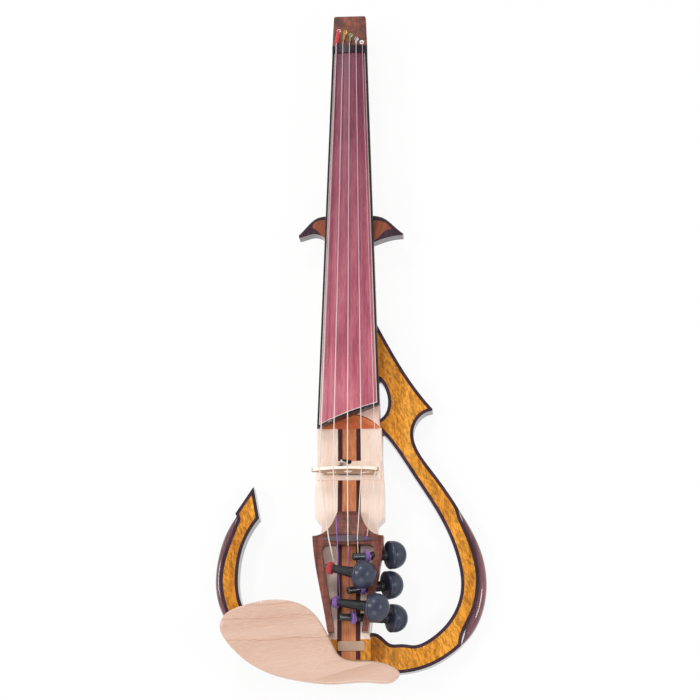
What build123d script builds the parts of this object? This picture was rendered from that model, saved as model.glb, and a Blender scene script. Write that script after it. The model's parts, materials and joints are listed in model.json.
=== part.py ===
from build123d import *
import math
import os

# Five-string headless electric violin, lying on its flat back, millimetres.
# X runs to the right of someone who looks down on the strings, Y runs towards the head,
# Z rises from the back. The origin is on the back, straight below the bridge.

os.makedirs("parts", exist_ok=True)

# ---------------------------------------------------------------- driving dimensions
string_length = 328.0          # nut to bridge
beam_top_z = 24.0              # top of the laminated beam that runs from tail to head
scoop_z = 21.5                 # lowest part of the hollow under the bridge
arm_top_z = 14.0               # the side arms are thinner than the beam
tail_y = -147.0
head_length = 30.6             # from the front of the nut to the end of the head
core_half = 5.2                # half the width of the centre lamina
stripe_width = 3.4
tail_half = 16.0
waist_half = 24.0              # beam beside the bridge
shoulder_half = 25.6           # beam at its widest, behind the bridge
board_end_left_y = 32.0        # the fingerboard is cut off at a slant
board_end_right_y = 50.0
nut_half = 13.5
board_spread = 0.0345          # growth of the half width per millimetre
board_inset = 1.2              # the neck is this much narrower than the board
shim_height = 3.0              # wedge between beam and fingerboard
board_edge_height = 5.0
camber_radius = 42.0
board_crown_end_z = 39.0
binding_width = 1.6
purfling_width = 0.65
neck_back_z = 15.0
heel_y = 176.0                 # the flat back ends here
neck_start_y = 202.0
edging_width = 2.5
nut_length = 6.0
nut_rise = 1.1                 # string above the board at the nut
nut_bend = 0.5                 # strings bend this far outside the nut
cap_height = 6.0
bridge_top_z = 44.5
bridge_base_top_z = 24.5
bridge_foot_half = 20.5
bridge_left = 27.2             # reach of its shoulders to the left and to the right
bridge_right = 22.9
bridge_foot_thickness = 4.4
bridge_top_thickness = 1.8
bridge_arch_radius = 55.0
rail_top_z = 36.0
saddle_rise = 1.4
saddle_arch_radius = 150.0
saddle_y = -51.5
wing_bottom_z = 12.0
chin_bottom_z = 28.0
chin_top_z = 36.0
plate_thickness = 0.8
post_radius = 2.65             # string post of a peg
wall = 1.0                     # wall of a peg's casing
running_clearance = 0.05
glue_clearance = 0.05
string_clearance = 0.3
groove_clearance = 0.03
pitch_sun = 0.9                # friction wheel sizes of the planetary drive
pitch_planet = 0.9
knob_radius = 10.5
knob_length = 13.0
winding_radius = 4.3
winding_width = 5.5
jack_radius = 4.75
jack_length = 32.0
lead_radius = 0.9

shim_top_z = beam_top_z + shim_height
wing_top_z = beam_top_z
nut_y = string_length
head_y = nut_y + head_length
head_cap_z = shim_top_z + cap_height
stripe_half = core_half + stripe_width
bore_radius = post_radius + running_clearance
casing_radius = bore_radius + wall
board_crown_nut_z = (shim_top_z + board_edge_height
                     + camber_radius - math.sqrt(camber_radius ** 2 - nut_half ** 2))

# gauge, side place at the nut, bridge and saddle, and place of the ball end behind the nut
STRINGS = {
    "c": dict(gauge=1.05, nut=-10.4, bridge=-20.8, saddle=-14.0, ball=(-8.6, 18.6)),
    "g": dict(gauge=0.81, nut=-5.2, bridge=-10.5, saddle=-7.7, ball=(-3.6, 17.6)),
    "d": dict(gauge=0.78, nut=0.0, bridge=0.1, saddle=0.2, ball=(0.8, 15.0)),
    "a": dict(gauge=0.67, nut=5.2, bridge=10.5, saddle=7.2, ball=(5.2, 11.8)),
    "e": dict(gauge=0.40, nut=10.0, bridge=20.8, saddle=14.0, ball=(9.4, 9.0)),
}

# centre of the knob's rim, end of the string post, how far the winding is from the rim,
# and how much thicker it is there than the thinnest winding
PEGS = {
    "c": dict(rim=(8.9, -78.7, 45.0), tip=(-15.7, -72.3, 34.7), winding=23.7, extra=0.4),
    "g": dict(rim=(18.3, -102.7, 43.0), tip=(-12.0, -97.0, 30.2), winding=29.6, extra=0.3),
    "d": dict(rim=(30.2, -108.1, 18.5), tip=(-6.1, -109.2, 36.5), winding=29.7, extra=0.4),
    "a": dict(rim=(27.3, -84.5, 22.7), tip=(0.1, -89.9, 36.0), winding=19.5, extra=0.0),
    "e": dict(rim=(29.8, -62.7, 27.1), tip=(4.2, -65.6, 39.7), winding=17.9, extra=0.0),
}
RAIL_PEGS = ("d", "a", "e")    # these casings sit in the right rail
RAISED_PEGS = ("c", "g")       # each of these stands on a bracket


def save(piece, name):
    """Label a finished piece and write it as one STEP file."""
    piece.label = name
    export_step(piece, f"parts/{name}.step")


def board_half(y):
    """Half the width of the fingerboard at a place along it."""
    return nut_half + (nut_y - y) * board_spread


def neck_half(y):
    """Half the width of the wood under the fingerboard."""
    return board_half(y) - board_inset


def arch(top, radius, x):
    """Height of a crowned surface beside its middle."""
    return top - radius + math.sqrt(radius ** 2 - x ** 2)


# ---------------------------------------------------------------- beam and neck
notch_y = -43.0
peg_bed_half = 22.5
peg_bed_end = 15.0
tail_block_y = -124.0
beam_right = [
    (tail_half, tail_y),
    (tail_half, tail_block_y),
    (peg_bed_end, tail_block_y + 3),
    (peg_bed_half, notch_y - 5),
]
beam_waist = [
    (shoulder_half, -33.5),
    (shoulder_half, -12.0),
    (waist_half, 12.0),
    (waist_half, board_end_left_y + 1),
    (neck_half(board_end_left_y + 2), board_end_left_y + 2),
    (neck_half(neck_start_y), neck_start_y),
]

with BuildSketch() as beam_plan:
    with BuildLine():
        Polyline((0, tail_y), *beam_right)
        ThreePointArc(beam_right[-1], (20.6, notch_y), (20.8, notch_y + 4.5))
        Polyline((20.8, notch_y + 4.5), *beam_waist, (0, neck_start_y))
        mirror(about=Plane.YZ)
    make_face()

bed_front_y = 9.0              # the bridge base stands between these
bed_back_y = -6.0
base_half = 23.6
scoop_back_y = -30.0           # the beam has its full height again from here to the tail
flare = [(8.3, scoop_back_y), (10.2, -35.6), (14.2, -43.2), (26.2, -49.3)]
with BuildSketch(Plane.YZ) as beam_side_view:
    with BuildLine():
        Polyline((neck_start_y, beam_top_z), (board_end_left_y + 1, beam_top_z),
                 (bed_front_y, scoop_z), (bed_back_y, scoop_z), (scoop_back_y, beam_top_z),
                 (tail_y, beam_top_z), (tail_y, 0), (heel_y, 0))
        Spline((heel_y, 0), (heel_y + 15, 4.5), (neck_start_y, neck_back_z),
               tangents=[(1, 0), (1, 0.7)])
        Line((neck_start_y, neck_back_z), (neck_start_y, beam_top_z))
    make_face()

jack_z = 10.0
lead_y = 8.0
pickup_x = -6.5
jack_end_y = tail_y + jack_length


def neck_section(y, half):
    """Rounded neck section, flat on top."""
    with BuildSketch(Plane(origin=(0, y, 0), x_dir=(1, 0, 0), z_dir=(0, -1, 0))) as section:
        with BuildLine():
            Line((-half, beam_top_z), (half, beam_top_z))
            Spline((half, beam_top_z), (half * 0.74, neck_back_z + 2.2), (0, neck_back_z),
                   (-half * 0.74, neck_back_z + 2.2), (-half, beam_top_z),
                   tangents=[(0, -1), (0, 1)])
        make_face()
    return section.sketch


# from the base's back corner to the flare of the peg frame the beam falls away to its side
facet_drop = 3.0
facet_start = Vector(base_half, bed_back_y, scoop_z)
scoop_slope = (beam_top_z - scoop_z) / (bed_back_y - scoop_back_y)
facet_end_y = -27.5
facet_end = Vector(10.5, facet_end_y, beam_top_z - (facet_end_y - scoop_back_y) * scoop_slope)
facet_low = Vector(shoulder_half, -33.5, beam_top_z - facet_drop)
facet_plane = Plane(origin=facet_start, x_dir=facet_low - facet_start,
                    z_dir=(facet_end - facet_start).cross(facet_low - facet_start))

with BuildPart() as facets:
    with BuildSketch():
        with BuildLine():
            Polyline(flare[-1], (40, flare[-1][1]), (40, bed_back_y), (base_half, bed_back_y),
                     (facet_end.X, facet_end.Y), flare[0])
            Spline(*flare)
        make_face()
    extrude(amount=beam_top_z + 1)
    with BuildSketch(facet_plane):
        Rectangle(200, 200)
    extrude(amount=beam_top_z, mode=Mode.INTERSECT)
    mirror(about=Plane.YZ)

with BuildPart() as beam:
    extrude(beam_plan.sketch, amount=beam_top_z)
    extrude(beam_side_view.sketch, amount=shoulder_half, both=True, mode=Mode.INTERSECT)
    add(facets.part, mode=Mode.SUBTRACT)

with BuildPart() as neck:
    for neck_y in (neck_start_y - 6, head_y):
        add(neck_section(neck_y, neck_half(min(neck_y, nut_y))))
    loft()

post_place = (-58.0, -130.0)   # the chin rest is held by two screws from the back
tail_screw = (12.3, -141.5)
screw_radius = 1.5
screw_head_radius = 3.2
screw_head_depth = 1.8
screw_sink = 0.5
screw_bite = 2.3               # length of each screw inside the chin rest
screw_gap = 0.3                # the holes are this much deeper
with BuildPart() as screw_holes:
    for x, y in (post_place, tail_screw):
        with Locations((x, y, -1)):
            Cylinder(screw_radius + running_clearance, 1 + chin_bottom_z + screw_bite + screw_gap,
                     align=(Align.CENTER, Align.CENTER, Align.MIN))
            Cylinder(screw_head_radius + 0.1, 1 + screw_sink + screw_head_depth,
                     align=(Align.CENTER, Align.CENTER, Align.MIN))

with BuildPart() as spine:
    add(beam.part)
    add(neck.part)
    add(screw_holes.part, mode=Mode.SUBTRACT)
    with Locations(Plane(origin=(0, tail_y, jack_z), z_dir=(0, 1, 0)).location):
        Cylinder(jack_radius + running_clearance, jack_length,
                 align=(Align.CENTER, Align.CENTER, Align.MIN), mode=Mode.SUBTRACT)
        Cylinder(2 * lead_radius, lead_y + 2 - tail_y,
                 align=(Align.CENTER, Align.CENTER, Align.MIN), mode=Mode.SUBTRACT)
    with Locations((0, lead_y, jack_z)):
        Cylinder(2 * lead_radius, beam_top_z,
                 align=(Align.CENTER, Align.CENTER, Align.MIN), mode=Mode.SUBTRACT)


def peg_plane(name):
    """Plane at the knob's rim, facing along the peg to its string post."""
    rim = Vector(*PEGS[name]["rim"])
    tip = Vector(*PEGS[name]["tip"])
    return Plane(origin=rim, z_dir=tip - rim)


def peg_length(name):
    """Distance from the knob's rim to the end of the string post."""
    return (Vector(*PEGS[name]["tip"]) - Vector(*PEGS[name]["rim"])).length


with BuildPart() as casing_bores:
    for name in RAIL_PEGS:
        with Locations(peg_plane(name).location):
            Cylinder(casing_radius + glue_clearance, PEGS[name]["winding"],
                     align=(Align.CENTER, Align.CENTER, Align.MIN))

span_y = head_y - tail_y + 40
middle_y = (head_y + tail_y) / 2


def lamina(left, right, first_y, last_y):
    """The part of the spine between two upright planes."""
    with BuildPart() as slab:
        add(spine.part)
        with Locations(((left + right) / 2, (first_y + last_y) / 2, 0)):
            Box(right - left, last_y - first_y, 4 * beam_top_z, mode=Mode.INTERSECT)
        if left > 0:
            add(casing_bores.part, mode=Mode.SUBTRACT)
    return slab.part


save(lamina(-core_half, core_half, tail_y, head_y), "beam_core")
with BuildPart() as beam_stripes:
    add(lamina(-stripe_half, -core_half, tail_y, head_y))
    add(lamina(core_half, stripe_half, tail_y, head_y))
save(beam_stripes.part, "beam_stripes")
save(lamina(-40, -stripe_half, tail_block_y, head_y), "beam_side_left")
save(lamina(stripe_half, 40, tail_block_y, head_y), "beam_side_right")
with BuildPart() as tail_blocks:
    add(lamina(-40, -stripe_half, tail_y, tail_block_y))
    add(lamina(stripe_half, 40, tail_y, tail_block_y))
save(tail_blocks.part, "tail_blocks")

# ---------------------------------------------------------------- shim, board, nut, head
shim_front_y = board_end_left_y + 1
with BuildPart() as neck_shim:
    with BuildSketch(Plane.XY.offset(beam_top_z)):
        with BuildLine():
            Polyline((neck_half(shim_front_y), shim_front_y), (neck_half(nut_y), nut_y),
                     (neck_half(nut_y), head_y), (-neck_half(nut_y), head_y),
                     (-neck_half(nut_y), nut_y), (-neck_half(shim_front_y), shim_front_y),
                     close=True)
        make_face()
    extrude(amount=shim_height)
    front_edge = neck_shim.edges().filter_by(Axis.X).group_by(Axis.Y)[0].sort_by(Axis.Z)[-1]
    chamfer(front_edge, shim_height * 0.6, length2=shim_height * 2)
save(neck_shim.part, "neck_shim")

crown_rise = (board_crown_end_z - board_crown_nut_z) / (nut_y - board_end_left_y)
crown_start = Vector(0, board_end_left_y - 20, board_crown_end_z + 20 * crown_rise - camber_radius)
crown_plane = Plane(origin=crown_start, x_dir=(1, 0, 0), z_dir=(0, 1, -crown_rise))


def board_outline(inset):
    """Plan of the fingerboard inside a border along its sides and its slanted end."""
    head_end = nut_y + inset
    with BuildSketch(Plane.XY.offset(shim_top_z)) as outline:
        with BuildLine():
            Polyline((-board_half(board_end_left_y), board_end_left_y),
                     (board_half(board_end_right_y), board_end_right_y),
                     (board_half(head_end), head_end),
                     (-board_half(head_end), head_end), close=True)
        make_face()
        if inset:
            offset(amount=-inset, kind=Kind.INTERSECTION)
    return outline.sketch


def board_band(outer_inset, inner_inset=None):
    """A border strip, or the filled middle, of the fingerboard under its crowned top."""
    outside = board_outline(outer_inset)
    inside = board_outline(inner_inset or 0)
    with BuildPart() as band:
        extrude(outside, amount=camber_radius)
        if inner_inset:
            extrude(inside, amount=camber_radius, mode=Mode.SUBTRACT)
        with BuildSketch(crown_plane):
            Circle(camber_radius)
        extrude(amount=nut_y - board_end_left_y + 60, mode=Mode.INTERSECT)
    return band.part


save(board_band(0, binding_width), "fingerboard_binding")
save(board_band(binding_width, binding_width + purfling_width), "fingerboard_purfling")
save(board_band(binding_width + purfling_width), "fingerboard")

nut_end_y = nut_y + nut_length
nut_top_z = board_crown_nut_z + nut_rise
cap_taper = 1.2


def string_height(name, place):
    """Height of a string's middle over the nut, the bridge or the saddle."""
    radius = STRINGS[name]["gauge"] / 2
    if place == "nut":
        return arch(nut_top_z, camber_radius, STRINGS[name]["nut"]) + radius * 0.4
    if place == "bridge":
        return arch(bridge_top_z, bridge_arch_radius, STRINGS[name]["bridge"]) + radius * 0.4
    return arch(rail_top_z + saddle_rise, saddle_arch_radius, STRINGS[name]["saddle"]) + radius * 0.4


def coil_radius(name):
    """Radius of the turns of one string on its post."""
    return winding_radius + PEGS[name]["extra"]


def winding_contact(name):
    """Where the string meets the underside of its winding, and a hair short of it."""
    plane = peg_plane(name)
    centre = plane.origin + plane.z_dir * PEGS[name]["winding"]
    start = Vector(STRINGS[name]["saddle"], saddle_y, string_height(name, "saddle")) - centre
    start -= plane.z_dir * start.dot(plane.z_dir)
    towards = start.normalized()
    across = plane.z_dir.cross(towards)
    if across.Z > 0:
        across = -across
    reach = coil_radius(name) + STRINGS[name]["gauge"] / 2 + string_clearance
    share = reach / start.length
    return centre + (towards * share + across * math.sqrt(1 - share ** 2)) * reach


def string_route(name):
    """Points that a string passes, from its ball end to its winding."""
    data = STRINGS[name]
    radius = data["gauge"] / 2
    nut_z = string_height(name, "nut")
    ball_x, ball_y = data["ball"]
    return [
        Vector(ball_x, nut_y + ball_y, head_cap_z + radius + 0.2),
        Vector(data["nut"], nut_end_y + nut_bend, nut_z),
        Vector(data["nut"], nut_y - nut_bend, nut_z + 0.01),
        Vector(data["bridge"], 0, string_height(name, "bridge")),
        Vector(data["saddle"], saddle_y, string_height(name, "saddle")),
        winding_contact(name),
    ]


def string_solid(name, extra=0.0):
    """A taut string, or with some extra radius the groove that it lies in."""
    points = string_route(name)
    with BuildPart() as wire:
        with BuildLine():
            path = FilletPolyline(*points, radius=2.0)
        with BuildSketch(Plane(origin=path @ 0, z_dir=path % 0)):
            Circle(STRINGS[name]["gauge"] / 2 + extra)
        sweep()
    return wire.part


for name in STRINGS:
    save(string_solid(name), f"string_{name}")
string_grooves = [string_solid(name, groove_clearance) for name in STRINGS]
string_channels = [string_solid(name, string_clearance) for name in STRINGS]

with BuildPart() as nut:
    with BuildSketch(Plane(origin=(0, nut_end_y, 0), x_dir=(1, 0, 0), z_dir=(0, -1, 0))):
        with BuildLine():
            nut_side_z = arch(nut_top_z, camber_radius, nut_half)
            Polyline((-nut_half, nut_side_z), (-nut_half, shim_top_z),
                     (nut_half, shim_top_z), (nut_half, nut_side_z))
            ThreePointArc((nut_half, nut_side_z), (0, nut_top_z), (-nut_half, nut_side_z))
        make_face()
        for name in STRINGS:
            with Locations((STRINGS[name]["nut"], string_height(name, "nut"))):
                Circle(STRINGS[name]["gauge"] / 2 + groove_clearance, mode=Mode.SUBTRACT)
    extrude(amount=nut_length)
save(nut.part, "nut")

ball_radius = 1.7
ball_height = 3.0
ball_places = [(x, nut_y + y, head_cap_z) for x, y in (STRINGS[name]["ball"] for name in STRINGS)]
with BuildPart() as head_cap:
    with BuildSketch(Plane.XY.offset(shim_top_z)):
        with BuildLine():
            Polyline((-nut_half, nut_end_y), (nut_half, nut_end_y),
                     (nut_half - cap_taper, head_y), (cap_taper - nut_half, head_y), close=True)
        make_face()
    extrude(amount=cap_height)
    fillet(head_cap.edges().filter_by(Axis.Z, tolerance=5).group_by(Axis.Y)[-1], 1.6)
    fillet(head_cap.faces().sort_by(Axis.Z)[-1].edges().group_by(Axis.Y)[-1], 0.9)
    with Locations(*ball_places):
        Cylinder(ball_radius + 0.1, 2 * ball_height, mode=Mode.SUBTRACT)
save(head_cap.part, "head_cap")

with BuildPart() as ball_ends:
    with Locations(*[(x, y, z - ball_height) for x, y, z in ball_places]):
        Cylinder(ball_radius, ball_height, align=(Align.CENTER, Align.CENTER, Align.MIN))
        Cylinder(0.8, ball_height, align=(Align.CENTER, Align.CENTER, Align.MIN),
                 mode=Mode.SUBTRACT)
save(ball_ends.part, "ball_ends")

# ---------------------------------------------------------------- bridge and pickup
base_chamfer = 0.8
base_gap = 0.3                 # between the base and each end of its bed
pickup_half = 9.0
pickup_height = 1.2
with BuildPart() as bridge_base:
    with BuildSketch(Plane.XY.offset(scoop_z)):
        with Locations((0, (bed_front_y + bed_back_y) / 2)):
            Rectangle(2 * base_half, bed_front_y - bed_back_y - 2 * base_gap)
    extrude(amount=bridge_base_top_z - scoop_z)
    chamfer(bridge_base.faces().sort_by(Axis.Z)[-1].edges(), base_chamfer)
    with Locations((0, 0, bridge_base_top_z)):
        Box(2 * pickup_half + 0.2, bridge_foot_thickness + 0.2, 2 * pickup_height,
            mode=Mode.SUBTRACT)
    with Locations((0, lead_y, bridge_base_top_z), (pickup_x, lead_y / 2, bridge_base_top_z)):
        Cylinder(2 * lead_radius, 20, mode=Mode.SUBTRACT)
save(bridge_base.part, "bridge_base")

with BuildPart() as pickup:
    with Locations((0, 0, bridge_base_top_z - pickup_height)):
        Box(2 * pickup_half, bridge_foot_thickness, pickup_height,
            align=(Align.CENTER, Align.CENTER, Align.MIN))
save(pickup.part, "pickup")

foot_z = bridge_base_top_z
foot_toe = 2.0                 # the feet stand out this far beside the legs
leg_z = foot_z + 2.4           # top of the feet
waist_z = foot_z + 7.0
shoulder_run = 1.2             # the shoulders are cut off at a slant
shoulder_drop = 3.0
arch_left = bridge_left - shoulder_run
arch_right = bridge_right - shoulder_run
arch_left_z = arch(bridge_top_z, bridge_arch_radius, arch_left)
arch_right_z = arch(bridge_top_z, bridge_arch_radius, arch_right)
leg_arch_span = 17.0           # opening between the feet
leg_arch_rise = 3.5
kidney_x = 12.5                # two slots and a round hole lighten the bridge
kidney_z = foot_z + 8.5
heart_z = foot_z + 11.5
with BuildPart() as bridge:
    with BuildSketch(Plane(origin=(0, 0, 0), x_dir=(1, 0, 0), z_dir=(0, -1, 0))):
        with BuildLine():
            Polyline((foot_toe - bridge_foot_half, leg_z), (-bridge_foot_half, leg_z),
                     (-bridge_foot_half, foot_z), (bridge_foot_half, foot_z),
                     (bridge_foot_half, leg_z), (bridge_foot_half - foot_toe, leg_z))
            Spline((bridge_foot_half - foot_toe, leg_z), (bridge_foot_half - 0.5, waist_z),
                   (bridge_right, arch_right_z - shoulder_drop))
            Line((bridge_right, arch_right_z - shoulder_drop), (arch_right, arch_right_z))
            ThreePointArc((arch_right, arch_right_z), (0, bridge_top_z),
                          (-arch_left, arch_left_z))
            Line((-arch_left, arch_left_z), (-bridge_left, arch_left_z - shoulder_drop))
            Spline((-bridge_left, arch_left_z - shoulder_drop),
                   (0.5 - bridge_foot_half, waist_z), (foot_toe - bridge_foot_half, leg_z))
        make_face()
        with Locations((0, foot_z)):
            SlotOverall(leg_arch_span, 2 * leg_arch_rise, mode=Mode.SUBTRACT)
        with Locations((-kidney_x, kidney_z), (kidney_x, kidney_z)):
            SlotOverall(8, 3.6, rotation=20, mode=Mode.SUBTRACT)
        with Locations((0, heart_z)):
            Ellipse(3.4, 2.6, mode=Mode.SUBTRACT)
    extrude(amount=bridge_foot_thickness, both=True)
    with BuildSketch(Plane.YZ):
        with BuildLine():
            Polyline((-bridge_foot_thickness / 2, foot_z), (bridge_foot_thickness / 2, foot_z),
                     (bridge_top_thickness / 2, bridge_top_z + 0.5),
                     (-bridge_top_thickness / 2, bridge_top_z + 0.5), close=True)
        make_face()
    extrude(amount=40, both=True, mode=Mode.INTERSECT)
    for groove in string_grooves:
        add(groove, mode=Mode.SUBTRACT)
save(bridge.part, "bridge")

lead_points = [
    (pickup_x, bridge_foot_thickness / 2 + 1.5, bridge_base_top_z - pickup_height / 2),
    (pickup_x, lead_y / 2 + 1.4, bridge_base_top_z + 1.0),
    (pickup_x + 1.6, lead_y + 0.4, bridge_base_top_z + 3.6),
    (-1.0, lead_y + 0.3, bridge_base_top_z + 2.6),
    (0, lead_y, jack_z + 8),
    (0, lead_y, jack_z),
    (0, jack_end_y, jack_z),
]
with BuildPart() as pickup_lead:
    with BuildLine():
        lead_path = FilletPolyline(*lead_points, radius=1.2)
    with BuildSketch(Plane(origin=lead_path @ 0, z_dir=lead_path % 0)):
        Circle(lead_radius)
    sweep()
save(pickup_lead.part, "pickup_lead")

# ---------------------------------------------------------------- output jack
flange_radius = 6.5
flange_thickness = 2.2
socket_radius = 3.2
tail_plane = Plane(origin=(0, tail_y, jack_z), x_dir=(1, 0, 0), z_dir=(0, 1, 0))
with BuildPart() as output_jack:
    with BuildSketch(tail_plane):
        Circle(jack_radius)
        Circle(socket_radius, mode=Mode.SUBTRACT)
    extrude(amount=jack_length)
    with BuildSketch(tail_plane):
        Circle(flange_radius)
        Circle(socket_radius, mode=Mode.SUBTRACT)
    extrude(amount=-flange_thickness)
    with BuildSketch(tail_plane.offset(jack_length - 3)):
        Circle(jack_radius)
        Circle(1.2, mode=Mode.SUBTRACT)
    extrude(amount=3)
    chamfer(output_jack.faces().sort_by(Axis.Y)[0].edges().sort_by(SortBy.LENGTH)[-1], 0.6)
save(output_jack.part, "output_jack")

# ---------------------------------------------------------------- hand stops at the heel
# places behind the heel
WINGS = {
    "left": dict(
        outer=[(-12, 23), (-19, 23.2), (-25.4, 21.7), (-32.3, 15.9), (-39.3, 8.4)],
        inner=[(-39, 6.3), (-34.5, 7.5), (-26.9, 9.2), (-21.5, 7.7), (-12, 2.5)],
        core_outer=[(-12, 20.4), (-19, 20.3), (-25.6, 19.4), (-28.8, 15)],
        core_inner=[(-28.6, 14.2), (-26.1, 12.6), (-23, 9.4), (-12, 5.2)],
    ),
    "right": dict(
        outer=[(12, 23), (19, 22.9), (25.1, 21.3), (34.2, 14), (40.8, 8.5)],
        inner=[(40.3, 7.2), (34.2, 6.8), (26.5, 5), (19, 2.3), (12, -0.5)],
        core_outer=[(12, 19.8), (19, 19.3), (25, 18.2), (31.4, 12.6)],
        core_inner=[(31, 12), (26.6, 10.5), (23.6, 7.8), (12, 2.2)],
    ),
}


def wing_solid(outer, inner):
    """A horn between two curves, cut where it is glued to the side of the beam."""
    outer = [(x, heel_y + y) for x, y in outer]
    inner = [(x, heel_y + y) for x, y in inner]
    with BuildPart() as horn:
        with BuildSketch(Plane.XY.offset(wing_bottom_z)):
            with BuildLine():
                Spline(*outer)
                Line(outer[-1], inner[0])
                Spline(*inner)
                Line(inner[-1], outer[0])
            make_face()
        extrude(amount=wing_top_z - wing_bottom_z)
        add(spine.part, mode=Mode.SUBTRACT)
        with Locations((0, (heel_y + neck_start_y) / 2, wing_bottom_z - 1)):
            Box(2 * neck_half(heel_y) - 0.4, 90, 30,
                align=(Align.CENTER, Align.CENTER, Align.MIN), mode=Mode.SUBTRACT)
    return horn.part


with BuildPart() as wing_edging:
    for side in WINGS:
        add(wing_solid(WINGS[side]["outer"], WINGS[side]["inner"]))
    for side in WINGS:
        add(wing_solid(WINGS[side]["core_outer"], WINGS[side]["core_inner"]),
            mode=Mode.SUBTRACT)
save(wing_edging.part, "hand_stop_edging")
for side in WINGS:
    save(wing_solid(WINGS[side]["core_outer"], WINGS[side]["core_inner"]), f"hand_stop_{side}")

# ---------------------------------------------------------------- side arms
with BuildSketch() as right_plan:
    with BuildLine():
        Spline((14, 127.0), (29.9, 97.2), (45.0, 71.8), (62.0, 49.6))
        Line((62.0, 49.6), (61.6, 48.2))
        Spline((61.6, 48.2), (51.7, 42.8), (47.4, 32.0), (50.1, 19.5), (60.5, 3.5),
               (74.5, -16.3), (80.5, -26.0))
        Spline((80.5, -26.0), (82.1, -32.0), (87.8, -45.5), (94.2, -66.0), (95.7, -78.5),
               (94.9, -89.5), (90.8, -104.5), (83.2, -120.5), (82.0, -128.0))
        Spline((82.0, -128.0), (73.6, -134.8), (58.9, -143.0), (37.0, -148.0),
               (tail_half, tail_y))
        Polyline((tail_half, tail_y), (tail_half - 6, tail_y + 5), (tail_half - 6, -121.0))
        Spline((tail_half - 6, -121.0), (24.0, -121.5), (30.5, -126.5), (38.5, -126.6), (47.3, -127.5),
               (59.0, -122.8), (73.8, -108.6), (82.0, -87.3), (80.7, -68.8), (74.3, -47.9),
               (59.6, -20.0), (44.8, 2.9), (32.0, 22.4), (23.4, 32.6))
        Polyline((23.4, 32.6), (14.0, 32.6), (14, 127.0))
    make_face()
    with BuildLine():
        Polyline((22.4, 42.4), (14.0, 42.4), (14.0, 74.0), (22.0, 72.6), (24.6, 69.0))
        Spline((24.6, 69.0), (28.4, 56.5), (25.8, 45.6), (22.4, 42.4))
    make_face(mode=Mode.SUBTRACT)

with BuildSketch() as left_plan:
    with BuildLine():
        Polyline((-68.2, -32.4), (-72.8, -8.3), (-86.2, -28.4), (-84.6, -32.6))
        Spline((-84.6, -32.6), (-91.8, -51.7), (-97.2, -75.0), (-93.5, -99.0), (-77.0, -125.0),
               (-48.0, -141.5), (-tail_half, tail_y))
        Polyline((-tail_half, tail_y), (6 - tail_half, tail_y + 5), (6 - tail_half, -121.0))
        Spline((6 - tail_half, -121.0), (-35.0, -124.5), (-63.0, -116.0), (-79.8, -98.0),
               (-83.5, -75.0), (-79.7, -52.6), (-68.2, -32.4))
    make_face()


def inner_plan(plan):
    """Plan of a side arm inside its edging, with a border of plain splines."""
    with BuildSketch() as inside:
        add(plan)
        offset(amount=-edging_width)
    return inside.sketch.face().to_splines()


def arm_solid(plan):
    """The figured wood of a side arm, cut where it is glued to the beam."""
    inside = inner_plan(plan)
    with BuildPart() as arm:
        with BuildSketch():
            add(inside)
            add(beam_plan.sketch, mode=Mode.SUBTRACT)
        extrude(amount=arm_top_z)
        add(screw_holes.part, mode=Mode.SUBTRACT)
    return arm.part


def edging_solid(plan):
    """The dark band that follows the border of a side arm."""
    inside = inner_plan(plan)
    with BuildPart() as band:
        with BuildSketch():
            add(plan)
            add(inside, mode=Mode.SUBTRACT)
            add(beam_plan.sketch, mode=Mode.SUBTRACT)
        extrude(amount=arm_top_z)
    return band.part


save(arm_solid(right_plan.sketch), "frame_right")
save(edging_solid(right_plan.sketch), "frame_right_edging")
save(arm_solid(left_plan.sketch), "horn_left")
save(edging_solid(left_plan.sketch), "horn_left_edging")

moulding_top_z = arm_top_z - 1.0
MOULDINGS = {
    "right": ([(80.5, -26.0), (89.1, -39.8), (98.5, -62.2), (101.1, -82.3), (96.6, -106.6),
               (82.0, -128.0)], [(82.0, -128.0), (90.0, -78.0), (80.5, -26.0)],
              right_plan.sketch),
    "left": ([(-85.4, -30.6), (-94.4, -45.1), (-99.2, -62.4), (-100.8, -79.5), (-98.0, -96.6),
              (-92.8, -107.6), (-85.5, -116.0)],
             [(-85.5, -116.0), (-90.0, -78.0), (-85.4, -30.6)], left_plan.sketch),
}
for side, (outer, inner, plan) in MOULDINGS.items():
    with BuildPart() as moulding:
        with BuildSketch():
            with BuildLine():
                Spline(*outer)
                Spline(*inner)
            make_face()
            add(plan, mode=Mode.SUBTRACT)
        extrude(amount=moulding_top_z)
    save(moulding.part, f"edge_moulding_{side}")

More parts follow.
